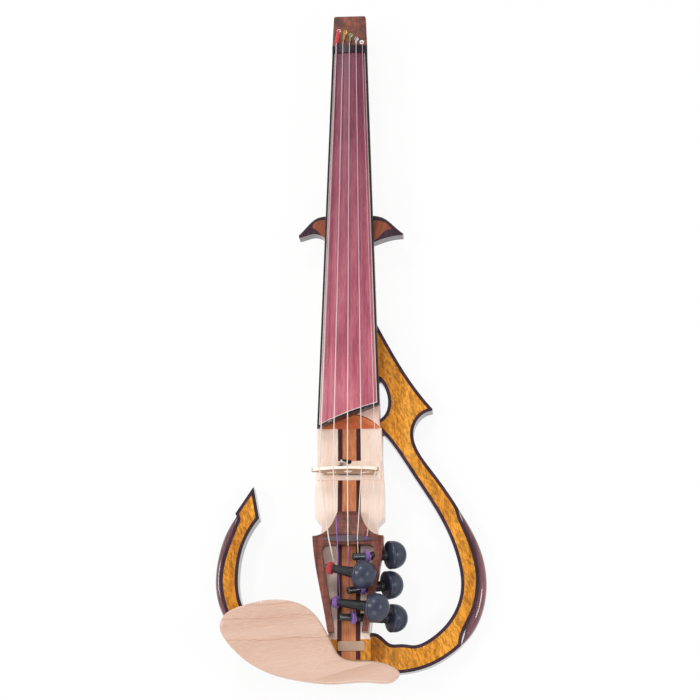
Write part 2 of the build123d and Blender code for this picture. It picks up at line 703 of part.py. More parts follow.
# ---------------------------------------------------------------- peg frame and saddle
frame_end_y = -119.5
saddle_half = 20.7
fork_outer = [flare[-1], (24.6, -66.0), (21.3, -84.6), (16.7, -108.0), (14.8, frame_end_y)]
fork_inner = [(10.2, frame_end_y), (11.4, -112.0), (14.3, -93.0), (17.3, -75.0), (19.4, -60.0)]
bay_head_y = -55.4             # the open bay between the rails ends here
with BuildPart() as peg_frame:
    with BuildSketch(Plane.XY.offset(beam_top_z)):
        with BuildLine():
            Line((0, scoop_back_y), flare[0])
            Spline(*flare)
            Spline(*fork_outer)
            Line(fork_outer[-1], fork_inner[0])
            Spline(*fork_inner)
            Spline(fork_inner[-1], (18.0, -56.8), (14.4, bay_head_y),
                   tangents=[(0, 1), (-1, 0)])
            Line((14.4, bay_head_y), (0, bay_head_y))
            mirror(about=Plane.YZ)
        make_face()
    extrude(amount=rail_top_z - beam_top_z)
    with BuildSketch(Plane.YZ):
        with BuildLine():
            Polyline((scoop_back_y, beam_top_z), (scoop_back_y, 28.0), (-33.5, 30.0),
                     (-48.0, rail_top_z),
                     (-125.0, rail_top_z), (-125.0, beam_top_z), close=True)
        make_face()
    extrude(amount=40, both=True, mode=Mode.INTERSECT)
    add(casing_bores.part, mode=Mode.SUBTRACT)
    for channel in string_channels:
        add(channel, mode=Mode.SUBTRACT)
save(peg_frame.part, "peg_frame")

with BuildPart() as saddle:
    with BuildSketch(Plane.XY.offset(rail_top_z)):
        with BuildLine():
            ThreePointArc((-saddle_half, saddle_y), (0, saddle_y + 2.4), (saddle_half, saddle_y))
            ThreePointArc((saddle_half, saddle_y), (0, saddle_y - 2.4), (-saddle_half, saddle_y))
        make_face()
    extrude(amount=2 * saddle_rise)
    with BuildSketch(Plane(origin=(0, saddle_y - 5, rail_top_z + saddle_rise - saddle_arch_radius),
                           x_dir=(1, 0, 0), z_dir=(0, 1, 0))):
        Circle(saddle_arch_radius)
    extrude(amount=10, mode=Mode.INTERSECT)
    for groove in string_grooves:
        add(groove, mode=Mode.SUBTRACT)
save(saddle.part, "saddle")

# ---------------------------------------------------------------- pegs
rim_lip = 0.6
underside_rise = 1.3           # the knob's underside bulges towards its casing
casing_gap = 0.6
casing_start = underside_rise + casing_gap
journal_end = 4.6
wheel_gap = 0.35
wheel_end = 7.9
pin_radius = 0.35
orbit = pitch_sun + pitch_planet
wheel_radius = pitch_planet - running_clearance
winding_gap = 0.4


def peg_head(name):
    """Knob with its stem, which ends in the sun wheel."""
    with BuildPart() as head:
        with BuildSketch(Plane.XZ):
            with BuildLine():
                Spline((0, -knob_length), (0.42 * knob_radius, -0.93 * knob_length),
                       (0.87 * knob_radius, -0.5 * knob_length), (knob_radius, -rim_lip),
                       tangents=[(1, 0), (0, 1)])
                Spline((knob_radius, -rim_lip), (0.9 * knob_radius, 0.67 * underside_rise),
                       (casing_radius + 0.5, underside_rise), tangents=[(0, 1), (-1, 0)])
                Polyline((casing_radius + 0.5, underside_rise), (post_radius, underside_rise),
                         (post_radius, journal_end), (wheel_radius, journal_end),
                         (wheel_radius, wheel_end), (0, wheel_end), (0, -knob_length))
            make_face()
        revolve(axis=Axis.Z)
    return head.part.moved(peg_plane(name).location)


def peg_post(name):
    """String post with its planet pins, and the three planet wheels on them."""
    length = peg_length(name)
    with BuildPart() as post:
        with BuildSketch(Plane.XY.offset(wheel_end + wheel_gap)):
            Circle(post_radius)
        extrude(amount=length - wheel_end - wheel_gap)
        chamfer(post.faces().sort_by(Axis.Z)[-1].edges(), 0.5)
        with Locations((0, 0, PEGS[name]["winding"])):
            Cylinder(0.7, 3 * post_radius, rotation=(90, 0, 0), mode=Mode.SUBTRACT)
        with BuildSketch(Plane.XY.offset(journal_end + wheel_gap)):
            with PolarLocations(orbit, 3):
                Circle(pin_radius)
        extrude(amount=wheel_end - journal_end)
        with BuildSketch(Plane.XY.offset(journal_end + wheel_gap)):
            with PolarLocations(orbit, 3):
                Circle(wheel_radius)
                Circle(pin_radius + running_clearance, mode=Mode.SUBTRACT)
        extrude(amount=wheel_end - journal_end - 2 * wheel_gap)
    return post.part.moved(peg_plane(name).location)


def peg_winding(name):
    """The turns of string on a post, as one rounded ring."""
    with BuildPart() as ring:
        with BuildSketch(Plane.XY.offset(PEGS[name]["winding"] - winding_width / 2)):
            Circle(coil_radius(name))
            Circle(post_radius + 0.02, mode=Mode.SUBTRACT)
        extrude(amount=winding_width)
        fillet(ring.edges().group_by(SortBy.LENGTH)[-1], 0.9)
    return ring.part.moved(peg_plane(name).location)


with BuildPart() as peg_casings:
    for name in PEGS:
        with BuildSketch(peg_plane(name).offset(casing_start)):
            Circle(casing_radius)
            Circle(bore_radius, mode=Mode.SUBTRACT)
        extrude(amount=PEGS[name]["winding"] - winding_width / 2 - winding_gap - casing_start)
save(peg_casings.part, "peg_casings")

for name in PEGS:
    save(peg_head(name), f"peg_head_{name}")
    save(peg_post(name), f"peg_post_{name}")
    save(peg_winding(name), f"peg_winding_{name}")

bracket_width = 8.0
bracket_thickness = 3.0
bracket_back = 3.4             # from the rim's centre to the middle of the bracket
bracket_shift = 1.0
bracket_drop = 1.5
with BuildPart() as peg_brackets:
    for name, seat_z in zip(RAISED_PEGS, (beam_top_z, rail_top_z)):
        rim_x, rim_y, rim_z = PEGS[name]["rim"]
        with Locations((rim_x - bracket_back, rim_y + bracket_shift, seat_z)):
            Box(bracket_thickness, bracket_width, rim_z - bracket_drop - seat_z,
                align=(Align.CENTER, Align.CENTER, Align.MIN))
    for name in RAISED_PEGS:
        with Locations(peg_plane(name).location):
            Cylinder(casing_radius + glue_clearance, 4 * bracket_width,
                     align=(Align.CENTER, Align.CENTER, Align.MIN), mode=Mode.SUBTRACT)
save(peg_brackets.part, "peg_brackets")

# ---------------------------------------------------------------- chin rest and plate
# outline of the chin rest, measured from the tail
chin_outline = [
    (-94, 33.0), (-89.4, 41.7), (-77.7, 47.1), (-63, 50.8), (-44.6, 50.8), (-31.4, 46.3),
    (-22.2, 37.8), (-16.6, 29.0), (-10.8, 17.8), (-5.6, 9.8), (3.1, 6.5), (23.4, 5.6),
    (30.7, 3.0), (37.9, -3.5), (36, -6.9), (16.2, -9.5), (-9.2, -10.6), (-31, -8.8),
    (-52.9, -4.0), (-71.2, 4.5), (-86.1, 17.3), (-93.2, 27.5),
]
chin_rounding = 2.2
dish_place = (-52.0, -124.0)
dish_depth = 4.0
dish_reach = 42.0              # half the width of the hollow
dish_radius = (dish_reach ** 2 + dish_depth ** 2) / (2 * dish_depth)
with BuildPart() as chin_rest:
    with BuildSketch(Plane.XY.offset(chin_bottom_z)):
        with BuildLine():
            Spline(*[(x, tail_y + y) for x, y in chin_outline], periodic=True)
        make_face()
    extrude(amount=chin_top_z - chin_bottom_z)
    fillet(chin_rest.faces().sort_by(Axis.Z)[-1].edges(), chin_rounding)
    with Locations((*dish_place, chin_top_z - dish_depth + dish_radius)):
        Sphere(dish_radius, mode=Mode.SUBTRACT)
    add(screw_holes.part, mode=Mode.SUBTRACT)
save(chin_rest.part, "chin_rest")

cork_thickness = 1.5
chin_post_radius = 5.5
with BuildPart() as chin_rest_post:
    with Locations((*post_place, arm_top_z)):
        Cylinder(chin_post_radius, chin_bottom_z - cork_thickness - arm_top_z,
                 align=(Align.CENTER, Align.CENTER, Align.MIN))
    add(screw_holes.part, mode=Mode.SUBTRACT)
save(chin_rest_post.part, "chin_rest_post")

with BuildPart() as chin_rest_cork:
    with Locations((*post_place, chin_bottom_z - cork_thickness)):
        Cylinder(chin_post_radius, cork_thickness, align=(Align.CENTER, Align.CENTER, Align.MIN))
    with Locations((0, tail_screw[1] - 1.5, beam_top_z)):
        Box(2 * tail_half - 0.6, 7.4, chin_bottom_z - beam_top_z,
            align=(Align.CENTER, Align.CENTER, Align.MIN))
    add(screw_holes.part, mode=Mode.SUBTRACT)
save(chin_rest_cork.part, "chin_rest_cork")

screw_length = chin_bottom_z + screw_bite - screw_sink
screw_slot = (2 * screw_radius, 0.6, 1.4)
with BuildPart() as chin_rest_screws:
    for x, y in (post_place, tail_screw):
        with Locations((x, y, screw_sink)):
            Cylinder(screw_radius, screw_length, align=(Align.CENTER, Align.CENTER, Align.MIN))
            Cylinder(screw_head_radius, screw_head_depth,
                     align=(Align.CENTER, Align.CENTER, Align.MIN))
            Box(*screw_slot, mode=Mode.SUBTRACT)
            Box(*screw_slot, rotation=(0, 0, 90), mode=Mode.SUBTRACT)
save(chin_rest_screws.part, "chin_rest_screws")

with BuildPart() as name_plate:
    with BuildSketch(Plane.XY.offset(beam_top_z)):
        with Locations((1.7, -129.0)):
            RectangleRounded(19.8, 7.2, 1.6)
    extrude(amount=plate_thickness)
    fillet(name_plate.faces().sort_by(Axis.Z)[-1].edges(), 0.3)
save(name_plate.part, "name_plate")
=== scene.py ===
"""Looks of a headless five-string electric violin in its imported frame.

Most pieces are welded copies of their CAD nodes with rounded edges, and the strings and the chin rest
are smoothed copies. Knobs, windings, casings and other turned or moulded pieces are made here. Every
finish is a node material on Object coordinates. Sizes in the tables and constants are in millimetres,
and meshes, matrices and CAD boxes are in metres.
"""
import json
import logging
import math
from dataclasses import dataclass, field
from enum import Enum
from functools import cache
from typing import Iterable, Optional, Sequence

import bmesh
import bpy
from mathutils import Matrix, Vector
from mathutils.bvhtree import BVHTree


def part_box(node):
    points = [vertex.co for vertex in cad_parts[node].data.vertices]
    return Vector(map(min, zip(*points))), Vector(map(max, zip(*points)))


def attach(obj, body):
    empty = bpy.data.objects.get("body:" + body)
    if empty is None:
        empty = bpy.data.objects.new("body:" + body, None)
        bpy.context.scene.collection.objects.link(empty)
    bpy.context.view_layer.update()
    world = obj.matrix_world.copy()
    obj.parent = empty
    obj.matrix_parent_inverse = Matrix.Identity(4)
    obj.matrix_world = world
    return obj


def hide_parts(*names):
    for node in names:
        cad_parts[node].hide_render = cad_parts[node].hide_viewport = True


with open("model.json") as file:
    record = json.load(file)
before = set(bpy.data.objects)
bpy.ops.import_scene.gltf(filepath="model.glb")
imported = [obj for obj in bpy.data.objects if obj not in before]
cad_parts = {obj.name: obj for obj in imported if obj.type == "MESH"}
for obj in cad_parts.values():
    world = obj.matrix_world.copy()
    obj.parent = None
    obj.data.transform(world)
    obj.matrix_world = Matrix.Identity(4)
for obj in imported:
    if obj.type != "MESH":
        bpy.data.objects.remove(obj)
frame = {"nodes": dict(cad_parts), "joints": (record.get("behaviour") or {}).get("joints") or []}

LOG = logging.getLogger("violin")
MM = 0.001
ROOT = "instrument"
SHARP = math.radians(38)        # an edge that turns more stays sharp
TOUCH = 0.2 * MM                # pieces closer than this are glued face to face
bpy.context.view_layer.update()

Colour = tuple[float, float, float, float]
Triple = tuple[float, float, float]
Profile = Sequence[tuple[float, float]]
Socket = bpy.types.NodeSocket


def linear(code: str) -> Colour:
    """Turn a hex sRGB colour into a linear one.

    Args:
        code: Six hex digits.

    Returns:
        Red, green, blue and an alpha of 1.
    """
    channels = [int(code[i:i + 2], 16) / 255 for i in (0, 2, 4)]
    red, green, blue = [c / 12.92 if c <= 0.04045 else ((c + 0.055) / 1.055) ** 2.4 for c in channels]
    return (red, green, blue, 1.0)


# ------------------------------------------------------------------ materials
class Wiring:
    """A node tree while it is being wired."""

    def __init__(self, tree: bpy.types.NodeTree) -> None:
        """Take up a tree."""
        self.tree = tree

    def feed(self, socket: Socket, value: object) -> None:
        """Link an input, or give it a constant.

        Args:
            socket: The input.
            value: A socket, a node, which stands for its first output, or a constant.
        """
        if isinstance(value, bpy.types.Node):
            value = value.outputs[0]
        if isinstance(value, Socket):
            self.tree.links.new(value, socket)
        else:
            socket.default_value = value

    def node(self, kind: str, links: Optional[dict] = None, **values: object) -> bpy.types.Node:
        """Add a node.

        Args:
            kind: The node's type.
            links: Sockets, nodes or constants by the input that they feed.
            values: Attributes of the node.

        Returns:
            The new node.
        """
        made = self.tree.nodes.new(kind)
        for key, value in values.items():
            setattr(made, key, value)
        for key, source in (links or {}).items():
            self.feed(made.inputs[key], source)
        return made


class Shader(Wiring):
    """A node material while it is being wired."""

    def __init__(self, name: str) -> None:
        """Start an empty material.

        Args:
            name: The material's name.
        """
        self.material = bpy.data.materials.new(name)
        self.material.use_nodes = True
        super().__init__(self.material.node_tree)
        self.tree.nodes.clear()
        self.surface = self.node("ShaderNodeBsdfPrincipled")
        self.output = self.node("ShaderNodeOutputMaterial", {"Surface": self.surface})

    def place(self, scale: Sequence[float], turn: Sequence[float] = (0, 0, 0)) -> Socket:
        """Object coordinates, turned in degrees and scaled to one unit per chosen length.

        Args:
            scale: Length in millimetres that becomes one unit, per axis.
            turn: Rotation of the grain in degrees.

        Returns:
            The vector socket.
        """
        coordinates = self.node("ShaderNodeTexCoord").outputs["Object"]
        leaning = self.node("ShaderNodeMapping", {
            "Vector": coordinates, "Rotation": [math.radians(a) for a in turn]})
        return self.node("ShaderNodeMapping", {
            "Vector": leaning, "Scale": [1 / (s * MM) for s in scale]}).outputs["Vector"]

    def along(self, axis: str) -> Socket:
        """Distance along X, Y or Z of the instrument, in millimetres."""
        return self.node("ShaderNodeSeparateXYZ", {"Vector": self.place((1, 1, 1))}).outputs[axis]

    def rise(self, value: Socket, start: float, length: float) -> Socket:
        """A share that rises from 0 at the start to 1 over a length."""
        return self.maths("DIVIDE", self.maths("SUBTRACT", value, start), length, True)

    def vary(self, value: Socket, middle: float, amount: float) -> Socket:
        """A number that follows a value from 0 to 1 and lies about a middle."""
        return self.maths("ADD", self.maths("MULTIPLY", value, amount), middle - amount / 2)

    def noise(self, vector: Socket, detail: float = 2.0, roughness: float = 0.5,
              distortion: float = 0.0) -> Socket:
        """Soft noise from 0 to 1 with one unit per blob, swirled by the distortion."""
        return self.node("ShaderNodeTexNoise", {
            "Vector": vector, "Scale": 1.0, "Detail": detail, "Roughness": roughness,
            "Distortion": distortion}).outputs["Fac"]

    def maths(self, operation: str, a: object, b: object = 0.0, clamp: bool = False) -> Socket:
        """One step of arithmetic, kept between 0 and 1 where it is clamped."""
        return self.node("ShaderNodeMath", {0: a, 1: b}, operation=operation,
                         use_clamp=clamp).outputs["Value"]

    def ramp(self, value: Socket, stops: Sequence[tuple[float, Colour]]) -> Socket:
        """Colours along a value.

        Args:
            value: From 0 to 1.
            stops: Place and colour of each stop.

        Returns:
            The colour socket.
        """
        made = self.node("ShaderNodeValToRGB", {"Fac": value})
        elements = made.color_ramp.elements
        elements[0].position, elements[0].color = stops[0]
        elements[1].position, elements[1].color = stops[-1]
        for position, colour in stops[1:-1]:
            elements.new(position).color = colour
        return made.outputs["Color"]

    def mix(self, share: object, a: object, b: object, blend: str = "MIX") -> Socket:
        """Blend two colours.

        Args:
            share: How much of b.
            a: First colour.
            b: Second colour.
            blend: Blend type.

        Returns:
            The colour socket.
        """
        made = self.node("ShaderNodeMix", data_type="RGBA", blend_type=blend)
        for index, value in ((0, share), (6, a), (7, b)):
            self.feed(made.inputs[index], value)
        return made.outputs[2]

    def gloss(self, roughness: object, coat: float = 0.0, coat_roughness: float = 0.1,
              metallic: object = 0.0, specular: float = 0.5) -> None:
        """Set how the surface shines.

        Args:
            roughness: Roughness of the base, a number or a socket.
            coat: Weight of the clear coat.
            coat_roughness: Roughness of the clear coat.
            metallic: 1 for bare metal, a number or a socket.
            specular: Specular level.
        """
        for key, value in (("Roughness", roughness), ("Coat Weight", coat),
                           ("Coat Roughness", coat_roughness), ("Metallic", metallic),
                           ("Specular IOR Level", specular)):
            self.feed(self.surface.inputs[key], value)

    def colour(self, value: object) -> None:
        """Set the base colour from a socket or a colour."""
        self.feed(self.surface.inputs["Base Color"], value)

    def bump(self, height: Socket, depth: float, strength: float = 0.5) -> None:
        """Raise the surface by a value, of which 1 is as deep as this in millimetres."""
        self.feed(self.surface.inputs["Normal"], self.node("ShaderNodeBump", {
            "Height": height, "Strength": strength, "Distance": depth * MM}))


class Figure(Enum):
    """How the grain of a wood catches the light."""

    PLAIN = "plain"
    FLECKED = "flecked"
    CURLED = "curled"
    BURL = "burl"


@dataclass(frozen=True)
class Finish:
    """The look of one material."""

    name: str

    @cache
    def material(self) -> bpy.types.Material:
        """The material, made once.

        Returns:
            The finished material.
        """
        s = Shader(self.name)
        self.wire(s)
        return s.material

    def wire(self, s: Shader) -> None:
        """Wire the look into an empty material."""
        raise NotImplementedError


@dataclass(frozen=True)
class Wood(Finish):
    """A wood under oil or lacquer, with its grain along Y before it is turned."""

    light: str
    middle: str
    dark: str
    turn: Triple = (0, 0, 0)
    ring: float = 6.0
    fibre: float = 0.6
    ring_share: float = 0.5
    pores: float = 0.2
    pore_width: float = 0.28
    pore_length: float = 4.2
    figure: Figure = Figure.PLAIN
    figure_share: float = 0.0
    figure_size: float = 4.0
    roughness: float = 0.35
    coat: float = 0.3
    coat_roughness: float = 0.12
    far_tint: Optional[Triple] = None
    far_reach: tuple[float, float] = (30.0, 330.0)
    lines: tuple[tuple[float, float], ...] = ()
    line_width: float = 0.35
    line_wander: float = 5.0
    line_colour: str = "A8663F"
    # painted shade behind a carved lip: the crease's line, how far the shade reaches, where it starts and
    # grows along X, and its colour
    crease: Optional[tuple[float, float]] = None
    crease_width: float = 9.0
    crease_start: float = -30.0
    crease_run: float = 20.0
    crease_shade_colour: str = "B98F74"
    # painted highlight: a lighter colour laid on up-facing faces, as the lamps above would light them
    painted_top_light: Optional[str] = None

    def wire(self, s: Shader) -> None:
        """Wire the look."""
        stretch = 28.0
        fibres = s.noise(s.place((self.fibre, self.fibre * stretch, self.fibre), self.turn), 3.0, 0.6)
        bend = s.noise(s.place((self.ring * 3, self.ring * 14, self.ring * 3), self.turn), 2.0)
        across = s.place((self.ring, self.ring * 60, self.ring), self.turn)
        rings = s.noise(across, 4.0, 0.62, 0.6)
        value = s.maths("ADD", s.maths("MULTIPLY", rings, self.ring_share),
                        s.maths("MULTIPLY", fibres, 1 - self.ring_share))
        value = s.maths("ADD", value, s.vary(bend, 0.0, 0.35))
        colour = s.ramp(value, [(0.34, linear(self.dark)), (0.5, linear(self.middle)),
                                (0.66, linear(self.light))])
        for wanted, change in ((self.figure is not Figure.PLAIN, self._figured), (self.pores, self._pored),
                               (self.far_tint, self._faded), (self.lines, self._lined),
                               (self.crease, self._paint_crease_shade), (self.painted_top_light, self._paint_top_light)):
            if wanted:
                colour = change(s, colour)
        s.colour(colour)
        s.gloss(s.vary(fibres, self.roughness, 0.12), self.coat, self.coat_roughness, specular=0.25)
        s.bump(fibres, 0.05, 0.35)

    def _figured(self, s: Shader, colour: Socket) -> Socket:
        """Lighten and darken the wood in flecks or curls across the grain."""
        size = self.figure_size
        if self.figure is Figure.FLECKED:
            lean = (self.turn[0], self.turn[1], self.turn[2] - 24)
            pattern = s.noise(s.place((size * 0.32, size, size), lean), 3.0, 0.6, 0.8)
        elif self.figure is Figure.BURL:
            pattern = s.noise(s.place((size, size * 0.8, size)), 3.0, 0.55, 1.8)
        else:
            where = s.place((size * 4, size, size * 4), self.turn)
            pattern = s.noise(where, 1.0, 0.4, 0.8)
        shade = s.ramp(pattern, [(0.38, (1 - self.figure_share,) * 3 + (1,)), (0.5, (1, 1, 1, 1)),
                                 (0.62, (1 + self.figure_share,) * 3 + (1,))])
        return s.mix(1.0, colour, shade, "MULTIPLY")

    def _paint_top_light(self, s: Shader, colour: Socket) -> Socket:
        """Paint light on the faces that look up, as the lamps above would light them."""
        normal = s.node("ShaderNodeNewGeometry").outputs["Normal"]
        up = s.node("ShaderNodeSeparateXYZ", {"Vector": normal}).outputs["Z"]
        return s.mix(s.rise(up, 0.35, 1 / 3), colour, linear(self.painted_top_light))

    def _faded(self, s: Shader, colour: Socket) -> Socket:
        """Tint the wood more and more towards the head."""
        near, far = self.far_reach
        share = s.rise(s.along("Y"), near, far - near)
        tint = s.mix(share, (1, 1, 1, 1), (*self.far_tint, 1.0))
        return s.mix(1.0, colour, tint, "MULTIPLY")

    def _lined(self, s: Shader, colour: Socket) -> Socket:
        """Draw a few thin, wavy growth lines across the instrument."""
        x, y = s.along("X"), s.along("Y")
        wave = s.noise(s.place((14.0, 60.0, 60.0)), 2.0)
        y = s.maths("ADD", y, s.vary(wave, 0.0, self.line_wander))
        for height, slope in self.lines:
            line = s.maths("ADD", s.maths("MULTIPLY", x, slope), height)
            away = s.maths("ABSOLUTE", s.maths("SUBTRACT", y, line))
            mask = s.maths("SUBTRACT", 1.0, s.maths("DIVIDE", away, self.line_width), True)
            colour = s.mix(s.maths("MULTIPLY", mask, 0.55), colour, linear(self.line_colour))
        return colour

    def _paint_crease_shade(self, s: Shader, colour: Socket) -> Socket:
        """Paint shade on the wood behind a carved lip, fading away from its crease."""
        x, y = s.along("X"), s.along("Y")
        height, slope = self.crease
        line = s.maths("ADD", s.maths("MULTIPLY", x, slope), height)
        below = s.maths("SUBTRACT", line, y)
        near = s.maths("SUBTRACT", 1.0, s.maths("DIVIDE", below, self.crease_width), True)
        share = s.maths("MULTIPLY", s.maths("GREATER_THAN", below, 0.0), near)
        share = s.maths("MULTIPLY", share, s.rise(x, self.crease_start, self.crease_run))
        return s.mix(s.maths("MULTIPLY", share, 0.5), colour, linear(self.crease_shade_colour))

    def _pored(self, s: Shader, colour: Socket) -> Socket:
        """Add short dark pores along the grain."""
        where = s.place((self.pore_width, self.pore_length, self.pore_width), self.turn)
        mask = s.ramp(s.noise(where, 1.0), [(0.60, (0, 0, 0, 1)), (0.70, (1, 1, 1, 1))])
        share = s.maths("MULTIPLY", mask, self.pores)
        return s.mix(share, colour, linear(self.dark))


@dataclass(frozen=True)
class Laminate(Finish):
    """The wedge's wood, whose laminae make an arch where the wedge is cut off at a slant."""

    middle: str
    stripe: str
    outside: str
    rim: str
    arch_foot: float = 33.0
    arch_rise: float = 10.6
    arch_half: float = 21.8
    arch_centre: float = 2.0
    stripe_width: float = 0.7
    rim_width: float = 1.5
    rim_fade: float = 4.0

    def wire(self, s: Shader) -> None:
        """Wire the look."""
        share = s.maths("DIVIDE", s.maths("SUBTRACT", s.along("X"), self.arch_centre), self.arch_half)
        share = s.maths("MAXIMUM", share, 0.0)
        fall = s.maths("MULTIPLY", s.maths("MULTIPLY", share, share), self.arch_rise)
        edge = s.maths("SUBTRACT", self.arch_foot + self.arch_rise, fall)
        depth = s.maths("SUBTRACT", edge, s.along("Y"))
        colour = s.mix(s.maths("GREATER_THAN", depth, 0.0), linear(self.outside), linear(self.stripe))
        colour = s.mix(s.maths("GREATER_THAN", depth, self.stripe_width), colour, linear(self.rim))
        colour = s.mix(s.rise(depth, self.rim_width, self.rim_fade), colour, linear(self.middle))
        fibres = s.noise(s.place((0.5, 14.0, 0.5)), 3.0, 0.6)
        shade = s.ramp(fibres, [(0.35, (0.78, 0.76, 0.74, 1)), (0.62, (1.08, 1.08, 1.08, 1))])
        s.colour(s.mix(1.0, colour, shade, "MULTIPLY"))
        s.gloss(0.34, 0.3, 0.12, specular=0.25)
        s.bump(fibres, 0.04, 0.3)


@dataclass(frozen=True)
class Moulded(Finish):
    """A smooth plastic or coated metal with a faint mottle."""

    colour: str
    roughness: float
    metallic: float = 0.0
    coat: float = 0.0
    grain: float = 0.4
    variation: float = 0.08

    def wire(self, s: Shader) -> None:
        """Wire the look."""
        fine = s.noise(s.place((self.grain,) * 3), 3.0, 0.6)
        broad = s.noise(s.place((9, 9, 9)), 2.0)
        base = linear(self.colour)
        darker = tuple(c * (1 - 2 * self.variation) for c in base[:3]) + (1.0,)
        lighter = tuple(min(1.0, c * (1 + 2 * self.variation)) for c in base[:3]) + (1.0,)
        s.colour(s.ramp(broad, [(0.35, darker), (0.65, lighter)]))
        s.gloss(s.vary(fine, self.roughness, 0.16), self.coat, 0.12, self.metallic)
        s.bump(fine, 0.015, 0.25)


@dataclass(frozen=True)
class Wound(Finish):
    """String wire with coloured silk at its ends, along Y."""

    metal: str
    tail_silk: str
    head_silk: str
    tail_y: float
    head_y: float = 336.0
    far_metal: str = "C4A4AE"
    far_start: float = 20.0
    far_run: float = 160.0

    def wire(self, s: Shader) -> None:
        """Wire the look."""
        along = s.along("Y")
        turns = s.node("ShaderNodeTexWave", {
            "Vector": s.place((1, 0.35, 1)), "Scale": 0.314, "Distortion": 0.0},
            bands_direction="Y").outputs["Fac"]
        tail = s.maths("LESS_THAN", along, self.tail_y)
        head = s.maths("GREATER_THAN", along, self.head_y)
        far = s.rise(along, self.far_start, self.far_run)
        colour = s.mix(far, linear(self.metal), linear(self.far_metal))
        colour = s.mix(tail, colour, linear(self.tail_silk))
        colour = s.mix(head, colour, linear(self.head_silk))
        shade = s.ramp(turns, [(0.0, (0.82, 0.82, 0.82, 1)), (1.0, (1, 1, 1, 1))])
        s.colour(s.mix(1.0, colour, shade, "MULTIPLY"))
        silk = s.maths("MAXIMUM", tail, head)
        metal = s.maths("MULTIPLY", s.maths("SUBTRACT", 1.0, silk), 0.1)
        s.gloss(s.maths("ADD", s.maths("MULTIPLY", silk, 0.35), 0.3), metallic=metal)
        s.bump(turns, 0.03, 0.5)


@dataclass(frozen=True)
class Thread(Finish):
    """Silk thread round a post."""

    colour: str

    def wire(self, s: Shader) -> None:
        """Wire the look."""
        fibres = s.noise(s.place((0.12, 0.5, 0.12)), 3.0, 0.65)
        base = linear(self.colour)
        dark = tuple(c * 0.55 for c in base[:3]) + (1.0,)
        s.colour(s.ramp(fibres, [(0.35, dark), (0.6, base)]))
        s.gloss(0.55)
        s.surface.inputs["Sheen Weight"].default_value = 0.4
        s.bump(fibres, 0.06, 0.6)


@dataclass(frozen=True)
class Cork(Finish):
    """Pressed cork."""

    name: str = "cork"

    def wire(self, s: Shader) -> None:
        """Wire the look."""
        cells = s.node("ShaderNodeTexVoronoi", {"Vector": s.place((1.2, 1.2, 1.2)), "Scale": 1.0})
        grains = s.noise(s.place((0.5, 0.5, 0.5)), 3.0)
        colour = s.ramp(cells.outputs["Distance"], [
            (0.1, linear("C9A06E")), (0.5, linear("A87C4C")), (0.9, linear("6E4A2A"))])
        s.colour(s.mix(0.3, colour, s.ramp(grains, [(0.4, linear("6E4A2A")), (0.6, linear("D0AA78"))])))
        s.gloss(0.85)
        s.bump(grains, 0.15, 0.6)


# ------------------------------------------------------------------ finishes of this instrument
# growth lines of the chin rest: place on the centre line and slope, in millimetres
CHIN_LINES = ((-123.2, 0.027), (-106.2, 0.044), (-98.5, 0.007))

MAPLE = Wood("maple", "FAE6DA", "F5DCCC", "ECCDBA", ring=7.0, fibre=0.5, pores=0.02,
             roughness=0.32, coat=0.3)
CORE_WOOD = Wood("core_wood", "E09A6A", "CC8054", "A45E3A", ring=3.0, fibre=0.45, pores=0.3,
                 roughness=0.35)
STRIPE_WOOD = Wood("stripe_wood", "5A2A2A", "481F22", "301216", ring=2.0, fibre=0.4, pores=0.3)
FIGURED_WOOD = Wood("figured_wood", "E09A38", "C8801E", "955412", ring=9.0, fibre=0.5, pores=0.3,
                    figure=Figure.FLECKED, figure_share=0.36, figure_size=5.5,
                    roughness=0.3, coat=0.4, coat_roughness=0.06)
EDGING_WOOD = Wood("edging_wood", "4A2E3E", "36202E", "22131A", ring=2.5, fibre=0.4, pores=0.2,
                   roughness=0.22, coat=0.6, coat_roughness=0.05)
MOULDING_WOOD = Wood("moulding_wood", "885456", "6C4048", "482830", ring=2.5, fibre=0.4,
                     roughness=0.2, coat=1.0, coat_roughness=0.05)
WALNUT = Wood("walnut", "8C5446", "723F35", "4B2924", ring=2.2, fibre=0.4, pores=0.5,
              ring_share=0.6, roughness=0.38, coat=0.2, figure=Figure.CURLED, figure_share=0.15,
              figure_size=3.0)
HEAD_WOOD = Wood("head_wood", "7E4230", "693526", "4A241C", ring=4.0, fibre=0.5, pores=0.2,
                 ring_share=0.5, roughness=0.35, coat=0.3, figure=Figure.BURL,
                 figure_share=0.42, figure_size=12.0)
PURPLEHEART = Wood("purpleheart", "D6808C", "BE6678", "9C465A", ring=2.6, fibre=0.35, pores=0.4,
                   ring_share=0.45, roughness=0.36, coat=0.15, coat_roughness=0.2,
                   far_tint=(0.3, 0.26, 0.33))
EBONY = Wood("ebony", "2C2430", "1C161E", "100C10", ring=3.0, fibre=0.4, pores=0.2,
             roughness=0.28, coat=0.3)
CREAM_LINE = Wood("cream_line", "DCD2C8", "CFC4BA", "B4A89E", ring=3.0, fibre=0.4, pores=0.0,
                  roughness=0.4, coat=0.2, far_tint=(0.5, 0.48, 0.5))
WING_WOOD = Wood("wing_wood", "AC5E3A", "924C30", "62301C", turn=(0, 0, 20), ring=3.0, fibre=0.4,
                 pores=0.4, roughness=0.28, coat=0.6, coat_roughness=0.05)
# the bridge's up-facing faces get a painted highlight in light cream
BRIDGE_WOOD = Wood("bridge_wood", "CDAE90", "B59274", "917054", turn=(0, 0, 90), ring=3.0,
                   fibre=0.3, pores=0.5, roughness=0.45, coat=0.1, painted_top_light="F8EADC")
